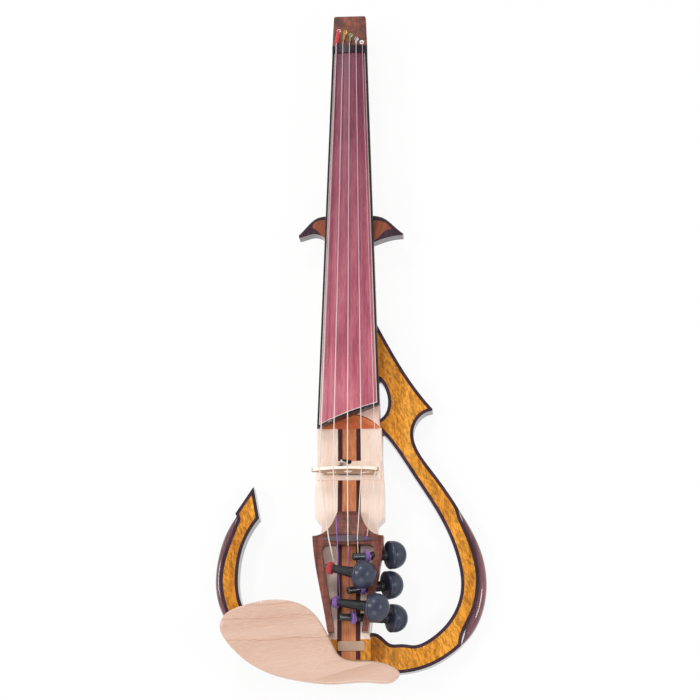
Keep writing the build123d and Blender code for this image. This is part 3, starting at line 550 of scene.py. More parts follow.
# the chin rest's crease gets painted shade on the wood behind its lip
CHIN_WOOD = Wood("chin_wood", "D9BAA9", "D3B19E", "C7A08C", turn=(0, 0, 84), ring=16.0, fibre=0.5,
                 pores=0.0, roughness=0.26, coat=0.5, coat_roughness=0.06, lines=CHIN_LINES,
                 crease=(-147.4, 0.28))
SHIM_WOOD = Laminate("shim_wood", "C4623A", "5E2A1C", "EFC8BA", "E28048")
CORK = Cork()
KNOB_BLACK = Moulded("knob_black", "2A3146", 0.4, coat=0.15)
CASING_BLACK = Moulded("casing_black", "1C1D20", 0.4, coat=0.1)
POST_GREY = Moulded("post_grey", "4A4D50", 0.3, metallic=0.7)
STEEL = Moulded("steel", "A9ABAE", 0.25, metallic=1.0)
CHROME = Moulded("chrome", "C9CACC", 0.12, metallic=1.0)
PICKUP_GREY = Moulded("pickup_grey", "6A6470", 0.5)
LEAD_BLACK = Moulded("lead_black", "161416", 0.5)
SLEEVE_GREY = Moulded("sleeve_grey", "8C8A8E", 0.5)
SLEEVE_WHITE = Moulded("sleeve_white", "E8E6E2", 0.5)
PLATE_SILVER = Moulded("plate_silver", "C0A289", 0.35, metallic=0.25, variation=0.03)
# The shaded silks are darker copies of the same silk with painted shade, for the turns that lie in shade
# under the coils.
SILK_RED = Thread("silk_red", "D8262C")
SILK_RED_SHADED = Thread("silk_red_painted_shade", "7E1418")
SILK_PURPLE = Thread("silk_purple", "9464BC")
SILK_PURPLE_SHADED = Thread("silk_purple_painted_shade", "4E3274")
BALL_FINISHES = {
    "c": Moulded("ball_pink", "E2B4AC", 0.3, metallic=0.4),
    "g": Moulded("ball_gold", "D0A450", 0.28, metallic=0.8),
    "d": Moulded("ball_green", "9CA078", 0.3, metallic=0.5),
    "a": Moulded("ball_silver", "C4C6C8", 0.28, metallic=0.8),
    "e": Moulded("ball_white", "ECEAE6", 0.35),
}

SADDLE_BLACK = Moulded("saddle_black", "5C4C54", 0.38, coat=0.2)
STRING_FINISHES = {
    "c": Wound("string_c_finish", "EADCD2", "C42A30", "D8262C", -74.0),
    "g": Wound("string_g_finish", "EADCD2", "9464BC", "B89448", -35.0),
    "d": Wound("string_d_finish", "EADCD2", "B468A8", "8A8C4A", -57.0),
    "a": Wound("string_a_finish", "EADCD2", "EADCD2", "C8C8C4", -200.0),
    "e": Wound("string_e_finish", "EEE2DA", "9464BC", "E8E4DC", -50.0),
}


# ------------------------------------------------------------------ meshes
def link(obj: bpy.types.Object) -> bpy.types.Object:
    """Put an object into the scene, unless it is there already, and give it back."""
    if obj.name not in bpy.context.scene.collection.objects:
        bpy.context.scene.collection.objects.link(obj)
    return obj


def object_of(bm: bmesh.types.BMesh, name: str) -> bpy.types.Object:
    """Make an object of a mesh, which is freed.

    Args:
        bm: The mesh.
        name: The object's name.

    Returns:
        The object, which isn't in the scene yet.
    """
    mesh = bpy.data.meshes.new(name)
    bm.to_mesh(mesh)
    bm.free()
    return bpy.data.objects.new(name, mesh)


def evaluated(obj: bpy.types.Object) -> bpy.types.Mesh:
    """The mesh that an object's modifiers make of it."""
    graph = bpy.context.evaluated_depsgraph_get()
    return bpy.data.meshes.new_from_object(obj.evaluated_get(graph))


def settle(obj: bpy.types.Object, body: str, finish: Finish, nodes: Iterable[str] = ()) -> bpy.types.Object:
    """Link a finished piece, dress it and make it ride.

    Args:
        obj: The piece, in place.
        body: CAD body that it moves with.
        finish: Its finish.
        nodes: CAD nodes that it stands for.

    Returns:
        The same piece.
    """
    link(obj)
    obj.data.materials.clear()
    obj.data.materials.append(finish.material())
    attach(obj, body)
    names = list(nodes)
    if names:
        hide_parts(*names)
    LOG.info("piece %s: %d faces, rides on %s", obj.name, len(obj.data.polygons), body)
    return obj


def from_bmesh(bm: bmesh.types.BMesh, name: str, matrix: Matrix = Matrix.Identity(4)) -> bpy.types.Object:
    """Make an object of a mesh in millimetres.

    Args:
        bm: The mesh, which is freed.
        name: The piece's name.
        matrix: Its place, with a translation in metres.

    Returns:
        The object, at the origin.
    """
    bmesh.ops.remove_doubles(bm, verts=bm.verts, dist=1e-4)
    bmesh.ops.recalc_face_normals(bm, faces=bm.faces)
    for face in bm.faces:
        face.smooth = True
    for edge in bm.edges:
        if edge.is_manifold and edge.calc_face_angle(0.0) > SHARP:
            edge.smooth = False
    obj = object_of(bm, name)
    obj.data.transform(matrix @ Matrix.Scale(MM, 4))
    return obj


def welded(node: str) -> bmesh.types.BMesh:
    """A CAD node's mesh in metres with its loose triangles joined.

    Args:
        node: The CAD node.

    Returns:
        The new mesh.
    """
    bm = bmesh.new()
    bm.from_mesh(frame["nodes"][node].data)
    bmesh.ops.remove_doubles(bm, verts=bm.verts, dist=2e-6)
    bmesh.ops.dissolve_limit(bm, angle_limit=math.radians(0.5), verts=bm.verts, edges=bm.edges)
    return bm


def surface_of(nodes: Sequence[str]) -> Optional[BVHTree]:
    """A search tree over some CAD nodes.

    Args:
        nodes: Their names.

    Returns:
        The tree, or None for no nodes.
    """
    points: list[Vector] = []
    faces: list[list[int]] = []
    for node in nodes:
        data = frame["nodes"][node].data
        first = len(points)
        points += [v.co.copy() for v in data.vertices]
        faces += [[first + i for i in p.vertices] for p in data.polygons]
    return BVHTree.FromPolygons(points, faces) if faces else None


@dataclass
class RoundedPiece:
    """A welded copy of a CAD node whose free edges are rounded."""

    node: str
    finish: Finish
    width: float = 0.5
    segments: int = 3
    seam: float = 0.0
    neighbours: tuple[str, ...] = ()
    body: str = ROOT
    back_width: Optional[float] = None
    angle: float = 28.0

    def build(self) -> bpy.types.Object:
        """Make, dress and place the piece.

        Returns:
            The finished piece.
        """
        bm = welded(self.node)
        tree = surface_of(self.neighbours)
        low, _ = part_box(self.node)
        layer = bm.edges.layers.float.new("bevel_weight_edge")
        widest = max(self.width, self.back_width or 0.0)
        for edge in bm.edges:
            turn = edge.calc_face_angle(0.0) if edge.is_manifold else 0.0
            if turn < math.radians(self.angle):
                continue
            width = self.width
            middle = (edge.verts[0].co + edge.verts[1].co) / 2
            if self.back_width is not None and middle.z < low.z + 0.5 * MM:
                width = self.back_width
            if tree is not None and self._touches(tree, edge):
                width *= self.seam
            edge[layer] = width / widest
            edge.smooth = width > 0
        for face in bm.faces:
            face.smooth = True
        obj = object_of(bm, f"{self.node}_shaped")
        bevel = obj.modifiers.new("rounding", "BEVEL")
        bevel.width = widest * MM
        bevel.segments = self.segments
        bevel.limit_method = "WEIGHT"
        bevel.use_clamp_overlap = True
        bevel.miter_outer = "MITER_SHARP"
        weighted = obj.modifiers.new("normals", "WEIGHTED_NORMAL")
        weighted.keep_sharp = True
        return settle(obj, self.body, self.finish, (self.node,))

    @staticmethod
    def _touches(tree: BVHTree, edge: bmesh.types.BMEdge) -> bool:
        """Whether an edge lies on a neighbour, near its two ends and at its middle."""
        a, b = edge.verts[0].co, edge.verts[1].co
        return all(tree.find_nearest(a.lerp(b, share), TOUCH)[0] is not None for share in (0.2, 0.5, 0.8))


def lathe(profile: Profile, steps: int) -> bmesh.types.BMesh:
    """Turn a profile round Z.

    Args:
        profile: Radius and height of each point, in millimetres. A closed ring repeats its first.
        steps: Faces round the axis.

    Returns:
        The mesh in millimetres.
    """
    bm = bmesh.new()
    rows: list[list[bmesh.types.BMVert]] = []
    for radius, height in profile:
        if radius < 1e-6:
            rows.append([bm.verts.new((0, 0, height))] * steps)
            continue
        rows.append([bm.verts.new((radius * math.cos(2 * math.pi * i / steps),
                                   radius * math.sin(2 * math.pi * i / steps), height))
                     for i in range(steps)])
    for lower, upper in zip(rows, rows[1:]):
        for i in range(steps):
            j = (i + 1) % steps
            corners = [lower[i], lower[j], upper[j], upper[i]]
            distinct = list(dict.fromkeys(corners))
            if len(distinct) > 2:
                bm.faces.new(distinct)
    return bm


def turned(name: str, profile: Profile, steps: int, place: Matrix, finish: Finish, body: str = ROOT,
           nodes: Iterable[str] = ()) -> bpy.types.Object:
    """Turn a profile, dress the piece and make it ride.

    Args:
        name: The piece's name.
        profile: Half section in millimetres.
        steps: Faces round the axis.
        place: Its place, with a translation in metres.
        finish: Its finish.
        body: CAD body that it moves with.
        nodes: CAD nodes that it stands for.

    Returns:
        The finished piece.
    """
    return settle(from_bmesh(lathe(profile, steps), name, place), body, finish, nodes)


# ------------------------------------------------------------------ geometry nodes
class Grower(Wiring):
    """A Geometry Nodes tree that makes pieces which repeat or follow a path."""

    def __init__(self, name: str) -> None:
        """Start a tree that ends in Realize Instances and Set Material.

        Args:
            name: The tree's name.
        """
        super().__init__(bpy.data.node_groups.new(name, "GeometryNodeTree"))
        self.inputs: dict[str, str] = {}
        self.entry = self.tree.nodes.new("NodeGroupInput")
        self.tree.interface.new_socket("Geometry", in_out="OUTPUT", socket_type="NodeSocketGeometry")
        self.leave = self.tree.nodes.new("NodeGroupOutput")

    def numbers(self, **defaults: float) -> list[Socket]:
        """Add named inputs.

        Args:
            defaults: Value of each by its name, a whole number for an input that counts.

        Returns:
            The sockets inside the tree, in the same order.
        """
        for name, value in defaults.items():
            kind = "NodeSocketInt" if isinstance(value, int) else "NodeSocketFloat"
            socket = self.tree.interface.new_socket(name, in_out="INPUT", socket_type=kind)
            socket.default_value = value
            self.inputs[name] = socket.identifier
        return [self.entry.outputs[name] for name in defaults]

    def close(self, made: bpy.types.Node, finish: Finish) -> None:
        """End the tree.

        Args:
            made: The node that makes the piece.
            finish: The finish of the result.
        """
        smooth = self.node("GeometryNodeSetShadeSmooth", {"Geometry": made})
        real = self.node("GeometryNodeRealizeInstances", {"Geometry": smooth})
        dressed = self.node("GeometryNodeSetMaterial", {"Geometry": real, "Material": finish.material()})
        self.feed(self.leave.inputs["Geometry"], dressed)

    def grow(self, name: str, values: dict[str, float], matrix: Matrix) -> bpy.types.Object:
        """Run the tree and keep the result as a plain mesh.

        Args:
            name: The piece's name.
            values: Values of the named inputs.
            matrix: Its place, with a translation in metres.

        Returns:
            The object, at the origin.
        """
        host = link(bpy.data.objects.new(f"{name}_host", bpy.data.meshes.new(f"{name}_host")))
        modifier = host.modifiers.new("grow", "NODES")
        modifier.node_group = self.tree
        for key, value in values.items():
            modifier[self.inputs[key]] = value
        mesh = evaluated(host)
        host.modifiers.remove(modifier)
        bpy.data.objects.remove(host)
        mesh.name = name
        mesh.transform(matrix @ Matrix.Scale(MM, 4))
        return bpy.data.objects.new(name, mesh)


def coil_tree(finish: Finish) -> Grower:
    """Turns of a thread round Z, in millimetres.

    Args:
        finish: The thread's finish.

    Returns:
        The tree, with the inputs Turns, Radius, Length and Thread.
    """
    g = Grower(f"coil_{finish.name}")
    turns, radius, length, thread = g.numbers(Turns=5.0, Radius=3.0, Length=5.0, Thread=0.4)
    spiral = g.node("GeometryNodeCurveSpiral", {
        "Resolution": 40, "Rotations": turns, "Start Radius": radius, "End Radius": radius,
        "Height": length})
    ring = g.node("GeometryNodeCurvePrimitiveCircle", {"Resolution": 10, "Radius": thread})
    tube = g.node("GeometryNodeCurveToMesh", {"Curve": spiral, "Profile Curve": ring, "Fill Caps": True})
    g.close(tube, finish)
    return g


def rings_tree(finish: Finish) -> Grower:
    """Fine rings along Z, such as the turns of a screw thread, that may taper.

    Args:
        finish: The rings' finish.

    Returns:
        The tree, with the inputs Count, Radius, Pitch, Thickness and Taper.
    """
    g = Grower(f"rings_{finish.name}")
    count, radius, pitch, thickness, taper = g.numbers(
        Count=8, Radius=3.0, Pitch=0.6, Thickness=0.2, Taper=0.0)
    step = g.node("ShaderNodeCombineXYZ", {"Z": pitch})
    line = g.node("GeometryNodeMeshLine", {"Count": count, "Offset": step})
    circle = g.node("GeometryNodeCurvePrimitiveCircle", {"Resolution": 40, "Radius": radius})
    section = g.node("GeometryNodeCurvePrimitiveCircle", {"Resolution": 6, "Radius": thickness})
    ring = g.node("GeometryNodeCurveToMesh", {"Curve": circle, "Profile Curve": section})
    index = g.node("GeometryNodeInputIndex")
    shrink = g.node("ShaderNodeMath", {0: index, 1: taper}, operation="MULTIPLY")
    size = g.node("ShaderNodeMath", {0: 1.0, 1: shrink}, operation="SUBTRACT")
    scale = g.node("ShaderNodeCombineXYZ", {"X": size, "Y": size, "Z": 1.0})
    placed = g.node("GeometryNodeInstanceOnPoints", {"Points": line, "Instance": ring, "Scale": scale})
    g.close(placed, finish)
    return g


def ribs_tree(finish: Finish) -> Grower:
    """Straight ribs round a collar on Z.

    Args:
        finish: The ribs' finish.

    Returns:
        The tree, with the inputs Count, Radius, Length and Thickness.
    """
    g = Grower(f"ribs_{finish.name}")
    count, radius, length, thickness = g.numbers(Count=40, Radius=4.0, Length=1.6, Thickness=0.2)
    circle = g.node("GeometryNodeMeshCircle", {"Vertices": count, "Radius": radius})
    rib = g.node("GeometryNodeMeshCylinder", {
        "Vertices": 6, "Side Segments": 1, "Radius": thickness, "Depth": length})
    placed = g.node("GeometryNodeInstanceOnPoints", {"Points": circle, "Instance": rib})
    g.close(placed, finish)
    return g


# ------------------------------------------------------------------ sub-assemblies
SIDES = ("beam_side_left", "beam_side_right")
ARMS = ("frame_right", "frame_right_edging", "horn_left", "horn_left_edging")


def dress(node: str, finish: Finish) -> None:
    """Give a CAD node that shows as it is its finish.

    Args:
        node: The CAD node.
        finish: Its finish.
    """
    for place in frame["nodes"][node].material_slots:
        place.material = finish.material()
    LOG.info("node %s: %s", node, finish.name)


def basis(origin: Vector, axis: Vector) -> Matrix:
    """A place whose Z runs along an axis, with its X as far up as that allows.

    Args:
        origin: Its origin in metres.
        axis: Direction of its Z.

    Returns:
        The matrix.
    """
    z = axis.normalized()
    x = (Vector((0, 0, 1)) - z * z.z).normalized()
    return Matrix.Translation(origin) @ Matrix((x, z.cross(x), z)).transposed().to_4x4()


@dataclass
class Beam:
    """The laminated beam, with the wedge that carries the fingerboard."""

    edge: float = 0.7
    block_edge: float = 0.8
    wedge_edge: float = 0.4

    def build(self) -> None:
        """Dress the laminae and round their free edges."""
        dress("beam_core", CORE_WOOD)
        dress("beam_stripes", STRIPE_WOOD)
        for side in SIDES:
            RoundedPiece(side, MAPLE, self.edge, neighbours=(
                "beam_stripes", "tail_blocks", "neck_shim", "peg_frame", *ARMS)).build()
        RoundedPiece("tail_blocks", FIGURED_WOOD, self.block_edge,
                     neighbours=("beam_stripes", *SIDES, *ARMS)).build()
        RoundedPiece("neck_shim", SHIM_WOOD, self.wedge_edge, neighbours=(
            *SIDES, "beam_stripes", "beam_core", "fingerboard_binding", "head_cap", "nut")).build()


@dataclass
class Board:
    """Fretless fingerboard with its lines, and the nut."""

    binding_edge: float = 0.5
    nut_edge: float = 0.45

    def build(self) -> None:
        """Dress the board and round what is free."""
        dress("fingerboard", PURPLEHEART)
        dress("fingerboard_purfling", CREAM_LINE)
        RoundedPiece("fingerboard_binding", EBONY, self.binding_edge, angle=40,
                     neighbours=("fingerboard_purfling", "neck_shim", "nut")).build()
        RoundedPiece("nut", EBONY, self.nut_edge, angle=50,
                     neighbours=("neck_shim", "head_cap", "fingerboard_binding")).build()


@dataclass
class Head:
    """The head block with the ball ends of the strings."""

    edge: float = 0.7
    ball_radius: float = 1.7
    ball_height: float = 3.0
    hole_radius: float = 0.8
    neck_radius: float = 1.25
    sleeve_bore: float = 0.3
    sleeve_gap: float = 0.35
    sleeves: dict[str, tuple[float, float]] = field(default_factory=lambda: {
        "c": (1.45, 8.4), "g": (0.85, 5.0), "d": (0.8, 4.0), "a": (0.7, 3.0)})

    def build(self) -> None:
        """Make the block, its five ball ends and the sleeves on the strings."""
        RoundedPiece("head_cap", HEAD_WOOD, self.edge,
                     neighbours=("neck_shim", "nut", "ball_ends")).build()
        for place in self.places():
            name = min("cgdae", key=lambda n: (self.string_end(n)[0] - place).xy.length)
            turned(f"ball_end_{name}", self.profile(), 40, Matrix.Translation(place * MM),
                   BALL_FINISHES[name], nodes=("ball_ends",))
        for name, (radius, length) in self.sleeves.items():
            start, axis = self.string_end(name)
            place = basis((start + axis * (self.ball_radius + self.sleeve_gap)) * MM, axis)
            bore = self.sleeve_bore
            half = [(bore, 0.0), (radius - 0.25, 0.0), (radius, 0.4), (radius, length - 0.6),
                    (radius - 0.2, length - 0.1), (bore, length), (bore, 0.0)]
            turned(f"string_sleeve_{name}", half, 28, place,
                   Thread(f"sleeve_silk_{name}", STRING_FINISHES[name].head_silk))

    @staticmethod
    def string_end(name: str) -> tuple[Vector, Vector]:
        """Where a string leaves its ball end, in millimetres, and its direction there."""
        points = [v.co / MM for v in frame["nodes"][f"string_{name}"].data.vertices]
        middles = []
        for _ in range(2):
            edge = max(p.y for p in points) - 1.0
            ring = [p for p in points if p.y > edge]
            middles.append(sum(ring, Vector()) / len(ring))
            points = [p for p in points if p.y < edge]
        return middles[0], (middles[1] - middles[0]).normalized()

    @staticmethod
    def places() -> list[Vector]:
        """Centres of the spools' undersides from left to right, in millimetres."""
        bm = welded("ball_ends")
        left = set(bm.verts)
        centres = []
        while left:
            group = {left.pop()}
            edge = list(group)
            while edge:
                near = {e.other_vert(v) for v in edge for e in v.link_edges} & left
                left -= near
                group |= near
                edge = list(near)
            low, high = ([pick(v.co[i] for v in group) / MM for i in range(3)] for pick in (min, max))
            centres.append(Vector(((low[0] + high[0]) / 2, (low[1] + high[1]) / 2, low[2])))
        bm.free()
        return sorted(centres, key=lambda centre: centre.x)

    def profile(self) -> list[tuple[float, float]]:
        """Half section of a spool."""
        r, h, hole, neck = self.ball_radius, self.ball_height, self.hole_radius, self.neck_radius
        return [(hole, 0.15), (hole + 0.2, 0), (r - 0.2, 0), (r, 0.2), (r, 0.7), (neck, 1.1),
                (neck, h - 1.1), (r, h - 0.7), (r, h - 0.2), (r - 0.2, h), (hole + 0.2, h),
                (hole, h - 0.15), (hole, 0.15)]


@dataclass
class Crescent:
    """The moulding outside a side arm, rounded over on its free side."""

    node: str
    finish: Finish
    side: int
    shoulder: float = 5.5
    foot: float = 1.2
    rows: int = 150
    reach: float = 150.0

    def build(self) -> bpy.types.Object:
        """Make, dress and place the moulding.

        Returns:
            The finished piece.
        """
        low, high = (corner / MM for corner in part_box(self.node))
        tree = surface_of((self.node,))
        bm = bmesh.new()
        rings: list[list[bmesh.types.BMVert]] = []
        for i in range(self.rows + 1):
            y = low.y + 0.02 + (high.y - low.y - 0.04) * (0.5 - 0.5 * math.cos(math.pi * i / self.rows))
            edges = self.width_at(tree, y, (low.z + high.z) / 2)
            if edges is not None:
                rings.append([bm.verts.new((x, y, z)) for x, z in self.section(*edges, high.z)])
        for first, second in zip(rings, rings[1:]):
            for j, corner in enumerate(first):
                k = (j + 1) % len(first)
                bm.faces.new((corner, first[k], second[k], second[j]))
        for ring in (rings[0], rings[-1]):
            bm.faces.new(ring)
        return settle(from_bmesh(bm, f"{self.node}_shaped"), ROOT, self.finish, (self.node,))

    def width_at(self, tree: BVHTree, y: float, z: float) -> Optional[tuple[float, float]]:
        """Inner and outer place of the moulding at one distance along the instrument."""
        found = []
        for start, way in ((0.0, self.side), (self.side * self.reach, -self.side)):
            hit = tree.ray_cast(Vector((start, y, z)) * MM, Vector((way, 0, 0)))[0]
            if hit is None:
                return None
            found.append(hit.x / MM)
        return found[0], found[1]

    def section(self, inner: float, outer: float, top: float) -> list[tuple[float, float]]:
        """Section from the inner foot over the shoulder to the outer foot."""
        width = max(abs(outer - inner), 0.05)
        s = 1 if outer > inner else -1
        reach = min(self.shoulder, 0.92 * width)
        drop = self.shoulder * (0.35 + 0.65 * reach / self.shoulder)
        foot = min(self.foot, 0.3 * width)
        points = [(inner, 0.0), (inner, top)]
        for step in range(1, 11):
            a = math.radians(9 * step)
            points.append((outer - s * (reach - reach * math.sin(a)), top - drop + drop * math.cos(a)))
        points += [(outer, foot), (outer - s * foot * 0.3, foot * 0.3), (outer - s * foot, 0.0)]
        return points


@dataclass
class SideArms:
    """The open right arm and the left horn, with their edging and moulding."""

    edge: float = 1.1
    back_edge: float = 1.6
    seam: float = 0.12

    def build(self) -> None:
        """Make both arms."""
        near = (*SIDES, "tail_blocks")
        for wood, edging, moulding in ((*ARMS[:2], "edge_moulding_right"),
                                       (*ARMS[2:], "edge_moulding_left")):
            for node, finish, beside in ((wood, FIGURED_WOOD, (edging,)),
                                         (edging, EDGING_WOOD, (wood, moulding))):
                RoundedPiece(node, finish, self.edge, seam=self.seam, back_width=self.back_edge,
                             neighbours=(*beside, *near)).build()
        Crescent("edge_moulding_right", MOULDING_WOOD, 1).build()
        Crescent("edge_moulding_left", MOULDING_WOOD, -1).build()


@dataclass
class HandStops:
    """The two small horns at the heel."""

    edge: float = 0.9
    seam: float = 0.12

    def build(self) -> None:
        """Make the horns and their edging."""
        horns = ("hand_stop_left", "hand_stop_right")
        for horn in horns:
            RoundedPiece(horn, WING_WOOD, self.edge, seam=self.seam,
                         neighbours=("hand_stop_edging", *SIDES)).build()
        RoundedPiece("hand_stop_edging", EDGING_WOOD, self.edge, seam=self.seam,
                     neighbours=(*horns, *SIDES)).build()


@dataclass
class Bridge:
    """The bridge, the block under it, and the pickup with its lead."""

    edge: float = 0.35
    base_edge: float = 0.3
    pickup_edge: float = 0.2
    sleeve_bore: float = 0.5
    sleeve_radius: float = 1.3
    tip_length: float = 1.5
    sleeve_ends: tuple[Triple, Triple] = ((-6.4, 4.7, 24.9), (-5.3, 7.4, 27.2))

    def build(self) -> None:
        """Make the group."""
        RoundedPiece("bridge", BRIDGE_WOOD, self.edge, angle=50).build()
        RoundedPiece("bridge_base", MAPLE, self.base_edge,
                     neighbours=(*SIDES, "beam_stripes", "beam_core")).build()
        RoundedPiece("pickup", PICKUP_GREY, self.pickup_edge).build()
        dress("pickup_lead", LEAD_BLACK)
        start, end = (Vector(p) * MM for p in self.sleeve_ends)
        length = (end - start).length / MM
        r, bore, tip = self.sleeve_radius, self.sleeve_bore, self.tip_length
        sleeve = [(bore, 0.0), (r - 0.2, 0.0), (r, 0.3), (r, length - 0.2), (r - 0.1, length),
                  (bore, length), (bore, 0.0)]
        turned("lead_sleeve", sleeve, 28, basis(start, end - start), SLEEVE_GREY)
        cap = [(bore, 0.0), (r - 0.15, 0.0), (r - 0.05, 0.2), (r - 0.05, tip - 0.3), (r - 0.25, tip),
               (bore, tip), (bore, 0.0)]
        turned("lead_sleeve_tip", cap, 28, basis(end, end - start), SLEEVE_WHITE)


@dataclass
class PegFrame:
    """The forked walnut frame round the pegs, with its saddle and brackets."""

    edge: float = 0.9
    saddle_edge: float = 0.3
    bracket_edge: float = 0.6

    def build(self) -> None:
        """Make the group."""
        RoundedPiece("peg_frame", WALNUT, self.edge, angle=35,
                     neighbours=(*SIDES, "peg_casings", "saddle")).build()
        RoundedPiece("saddle", SADDLE_BLACK, self.saddle_edge, angle=50,
                     neighbours=("peg_frame",)).build()
        RoundedPiece("peg_brackets", WALNUT, self.bracket_edge, angle=50,
                     neighbours=("peg_frame", "beam_side_right")).build()


@dataclass
class GearedPeg:
    """One planetary peg: knob, casing, string post and the string wound on it."""

    name: str
    silk: Finish
    # shaded_silk: the silk with painted shade, for the spool under the coils
    shaded_silk: Finish
    knob_radius: float = 10.5
    knob_length: float = 13.0
    stem_radius: float = 2.65
    stem_length: float = 4.6
    wheel_radius: float = 0.85
    wheel_end: float = 7.9
    underside: float = 1.3
    collar_start: float = 1.9
    collar_radius: float = 3.85
    rib_count: int = 44
    casing_end_radius: float = 2.98
    bore: float = 2.7
    screw_pitch: float = 0.55
    thread: float = 0.38
    winding_width: float = 5.5
    winding_radius: float = 0.0
    # how far each layer of turns lies inside the winding's radius and width
    layers: tuple[tuple[float, float], ...] = ((1.15, 1.8), (0.4, 3.0))

    def build(self, ribs: Grower, rings: Grower, coil: Grower) -> None:
        """Make the peg.

        Args:
            ribs: Tree for the collar's ribs.
            rings: Tree for the casing's thread.
            coil: Tree for the wound string.
        """
        joint = next(j for j in frame["joints"] if j["name"] == f"knob_{self.name}_turn")
        rim, axis = Vector(joint["pos_m"]), Vector(joint["axis"])
        place = basis(rim, axis)

        def at(height: float) -> Matrix:
            """The peg's place, moved along its axis by some millimetres."""
            return place @ Matrix.Translation((0, 0, height * MM))

        winding = f"peg_winding_{self.name}"
        low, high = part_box(winding)
        middle = ((low + high) / 2 - rim).dot(axis) / MM
        around = [v.co - rim for v in frame["nodes"][winding].data.vertices]
        self.winding_radius = max((p - axis * p.dot(axis)).length for p in around) / MM
        casing_end = middle - self.winding_width / 2 - 0.4
        turned(f"knob_{self.name}_turned", self.knob(), 96, place, KNOB_BLACK,
               f"knob_{self.name}", (f"peg_head_{self.name}",))
        turned(f"casing_{self.name}", self.casing(casing_end), 64, place, CASING_BLACK,
               nodes=("peg_casings",))
        settle(ribs.grow(f"collar_ribs_{self.name}", {
            "Count": self.rib_count, "Radius": self.collar_radius - 0.02, "Length": 1.8,
            "Thickness": 0.16}, at(self.collar_start + 1.6)), ROOT, CASING_BLACK)
        count = max(3, int((casing_end - self.collar_start - 4.4) / self.screw_pitch))
        shrink = (1 - self.casing_end_radius / self.collar_radius) / count
        settle(rings.grow(f"casing_thread_{self.name}", {
            "Count": count, "Radius": self.collar_radius - 0.12, "Pitch": self.screw_pitch,
            "Thickness": 0.17, "Taper": shrink}, at(self.collar_start + 3.8)), ROOT, CASING_BLACK)
        body = f"post_{self.name}"
        RoundedPiece(f"peg_post_{self.name}", POST_GREY, 0.25, angle=40, body=body).build()
        # the spool under the coils takes the silk with painted shade
        turned(f"winding_core_{self.name}", self.spool(self.winding_width / 2 - 0.5), 48, at(middle),
               self.shaded_silk, body, (winding,))
        for layer, (inset, margin) in enumerate(self.layers):
            width = self.winding_width - margin
            settle(coil.grow(f"winding_{self.name}_layer{layer}", {
                "Turns": width / (2.05 * self.thread), "Radius": self.winding_radius - inset,
                "Length": width, "Thread": self.thread}, at(middle - width / 2)),
                body, self.silk, (winding,))
        LOG.info("peg %s: winding at %.1f mm", self.name, middle)

    def knob(self) -> list[tuple[float, float]]:
        """Half section of the knob with its stem, from the crown to the wheel."""
        r, length = self.knob_radius, self.knob_length
        points = [(0.0, -length)]
        for step in range(1, 19):
            a = math.radians(90 * step / 20)
            points.append((r * math.sin(a) ** 0.92, -2.1 - (length - 2.1) * math.cos(a) ** 0.92))
        points += [(r - 0.12, -2.0), (r - 0.42, -1.85), (r - 0.42, -1.65), (r - 0.1, -1.5),
                   (r, -1.2), (r, -0.6), (r - 0.08, -0.25), (r - 0.3, 0.15), (r - 0.65, 0.5),
                   (r - 1.15, 0.78), (r - 2.0, 1.0), (r - 3.5, 1.18),
                   (self.collar_radius + 0.6, self.underside), (self.stem_radius, self.underside),
                   (self.stem_radius, self.stem_length), (self.wheel_radius, self.stem_length),
                   (self.wheel_radius, self.wheel_end), (0.0, self.wheel_end)]
        return points

    def casing(self, end: float) -> list[tuple[float, float]]:
        """Half section of the casing, from its collar to its thin end."""
        start, r = self.collar_start, self.collar_radius
        return [(self.bore, start), (r - 0.3, start), (r, start + 0.3), (r, start + 2.8),
                (r - 0.35, start + 3.1), (r - 0.15, start + 3.5), (self.casing_end_radius, end - 0.3),
                (self.casing_end_radius - 0.2, end), (self.bore, end), (self.bore, start)]

    def spool(self, half: float) -> list[tuple[float, float]]:
        """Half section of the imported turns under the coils."""
        r, inner = self.winding_radius - 1.05, self.stem_radius
        return [(inner + 0.02, -half + 0.2), (inner + 0.3, -half), (r - 0.3, -half + 0.2),
                (r, -half + 0.7), (r, half - 0.7), (r - 0.3, half - 0.2), (inner + 0.3, half),
                (inner + 0.02, half - 0.2), (inner + 0.02, -half + 0.2)]


@dataclass
class StringSet:
    """The five strings."""

    def build(self) -> None:
        """Make each string a smooth copy of its solid."""
        for name, finish in STRING_FINISHES.items():
            bm = welded(f"string_{name}")
            bm.transform(Matrix.Scale(1 / MM, 4))
            settle(from_bmesh(bm, f"string_{name}_wound"), ROOT, finish, (f"string_{name}",))


@dataclass
class ChinRest:
    """The carved chin rest on its post, cork and screws."""

    voxel: float = 0.9
    passes: int = 6
    post_edge: float = 0.6
    cork_edge: float = 0.3
    screw_edge: float = 0.2

    def build(self) -> None:
        """Make the group."""
        obj = link(object_of(welded("chin_rest"), "chin_rest_carved"))
        remesh = obj.modifiers.new("even", "REMESH")
        remesh.mode = "VOXEL"
        remesh.voxel_size = self.voxel * MM
        remesh.use_smooth_shade = True
        soften = obj.modifiers.new("soften", "SMOOTH")
        soften.factor = 0.5
        soften.iterations = self.passes
        mesh, carved = obj.data, evaluated(obj)
        obj.modifiers.clear()
        obj.data = carved
        bpy.data.meshes.remove(mesh)
        carved.name = "chin_rest_carved"
        settle(obj, ROOT, CHIN_WOOD, ("chin_rest",))
        RoundedPiece("chin_rest_post", MAPLE, self.post_edge, neighbours=("chin_rest_cork",)).build()
        RoundedPiece("chin_rest_cork", CORK, self.cork_edge).build()
        RoundedPiece("chin_rest_screws", STEEL, self.screw_edge, angle=50).build()


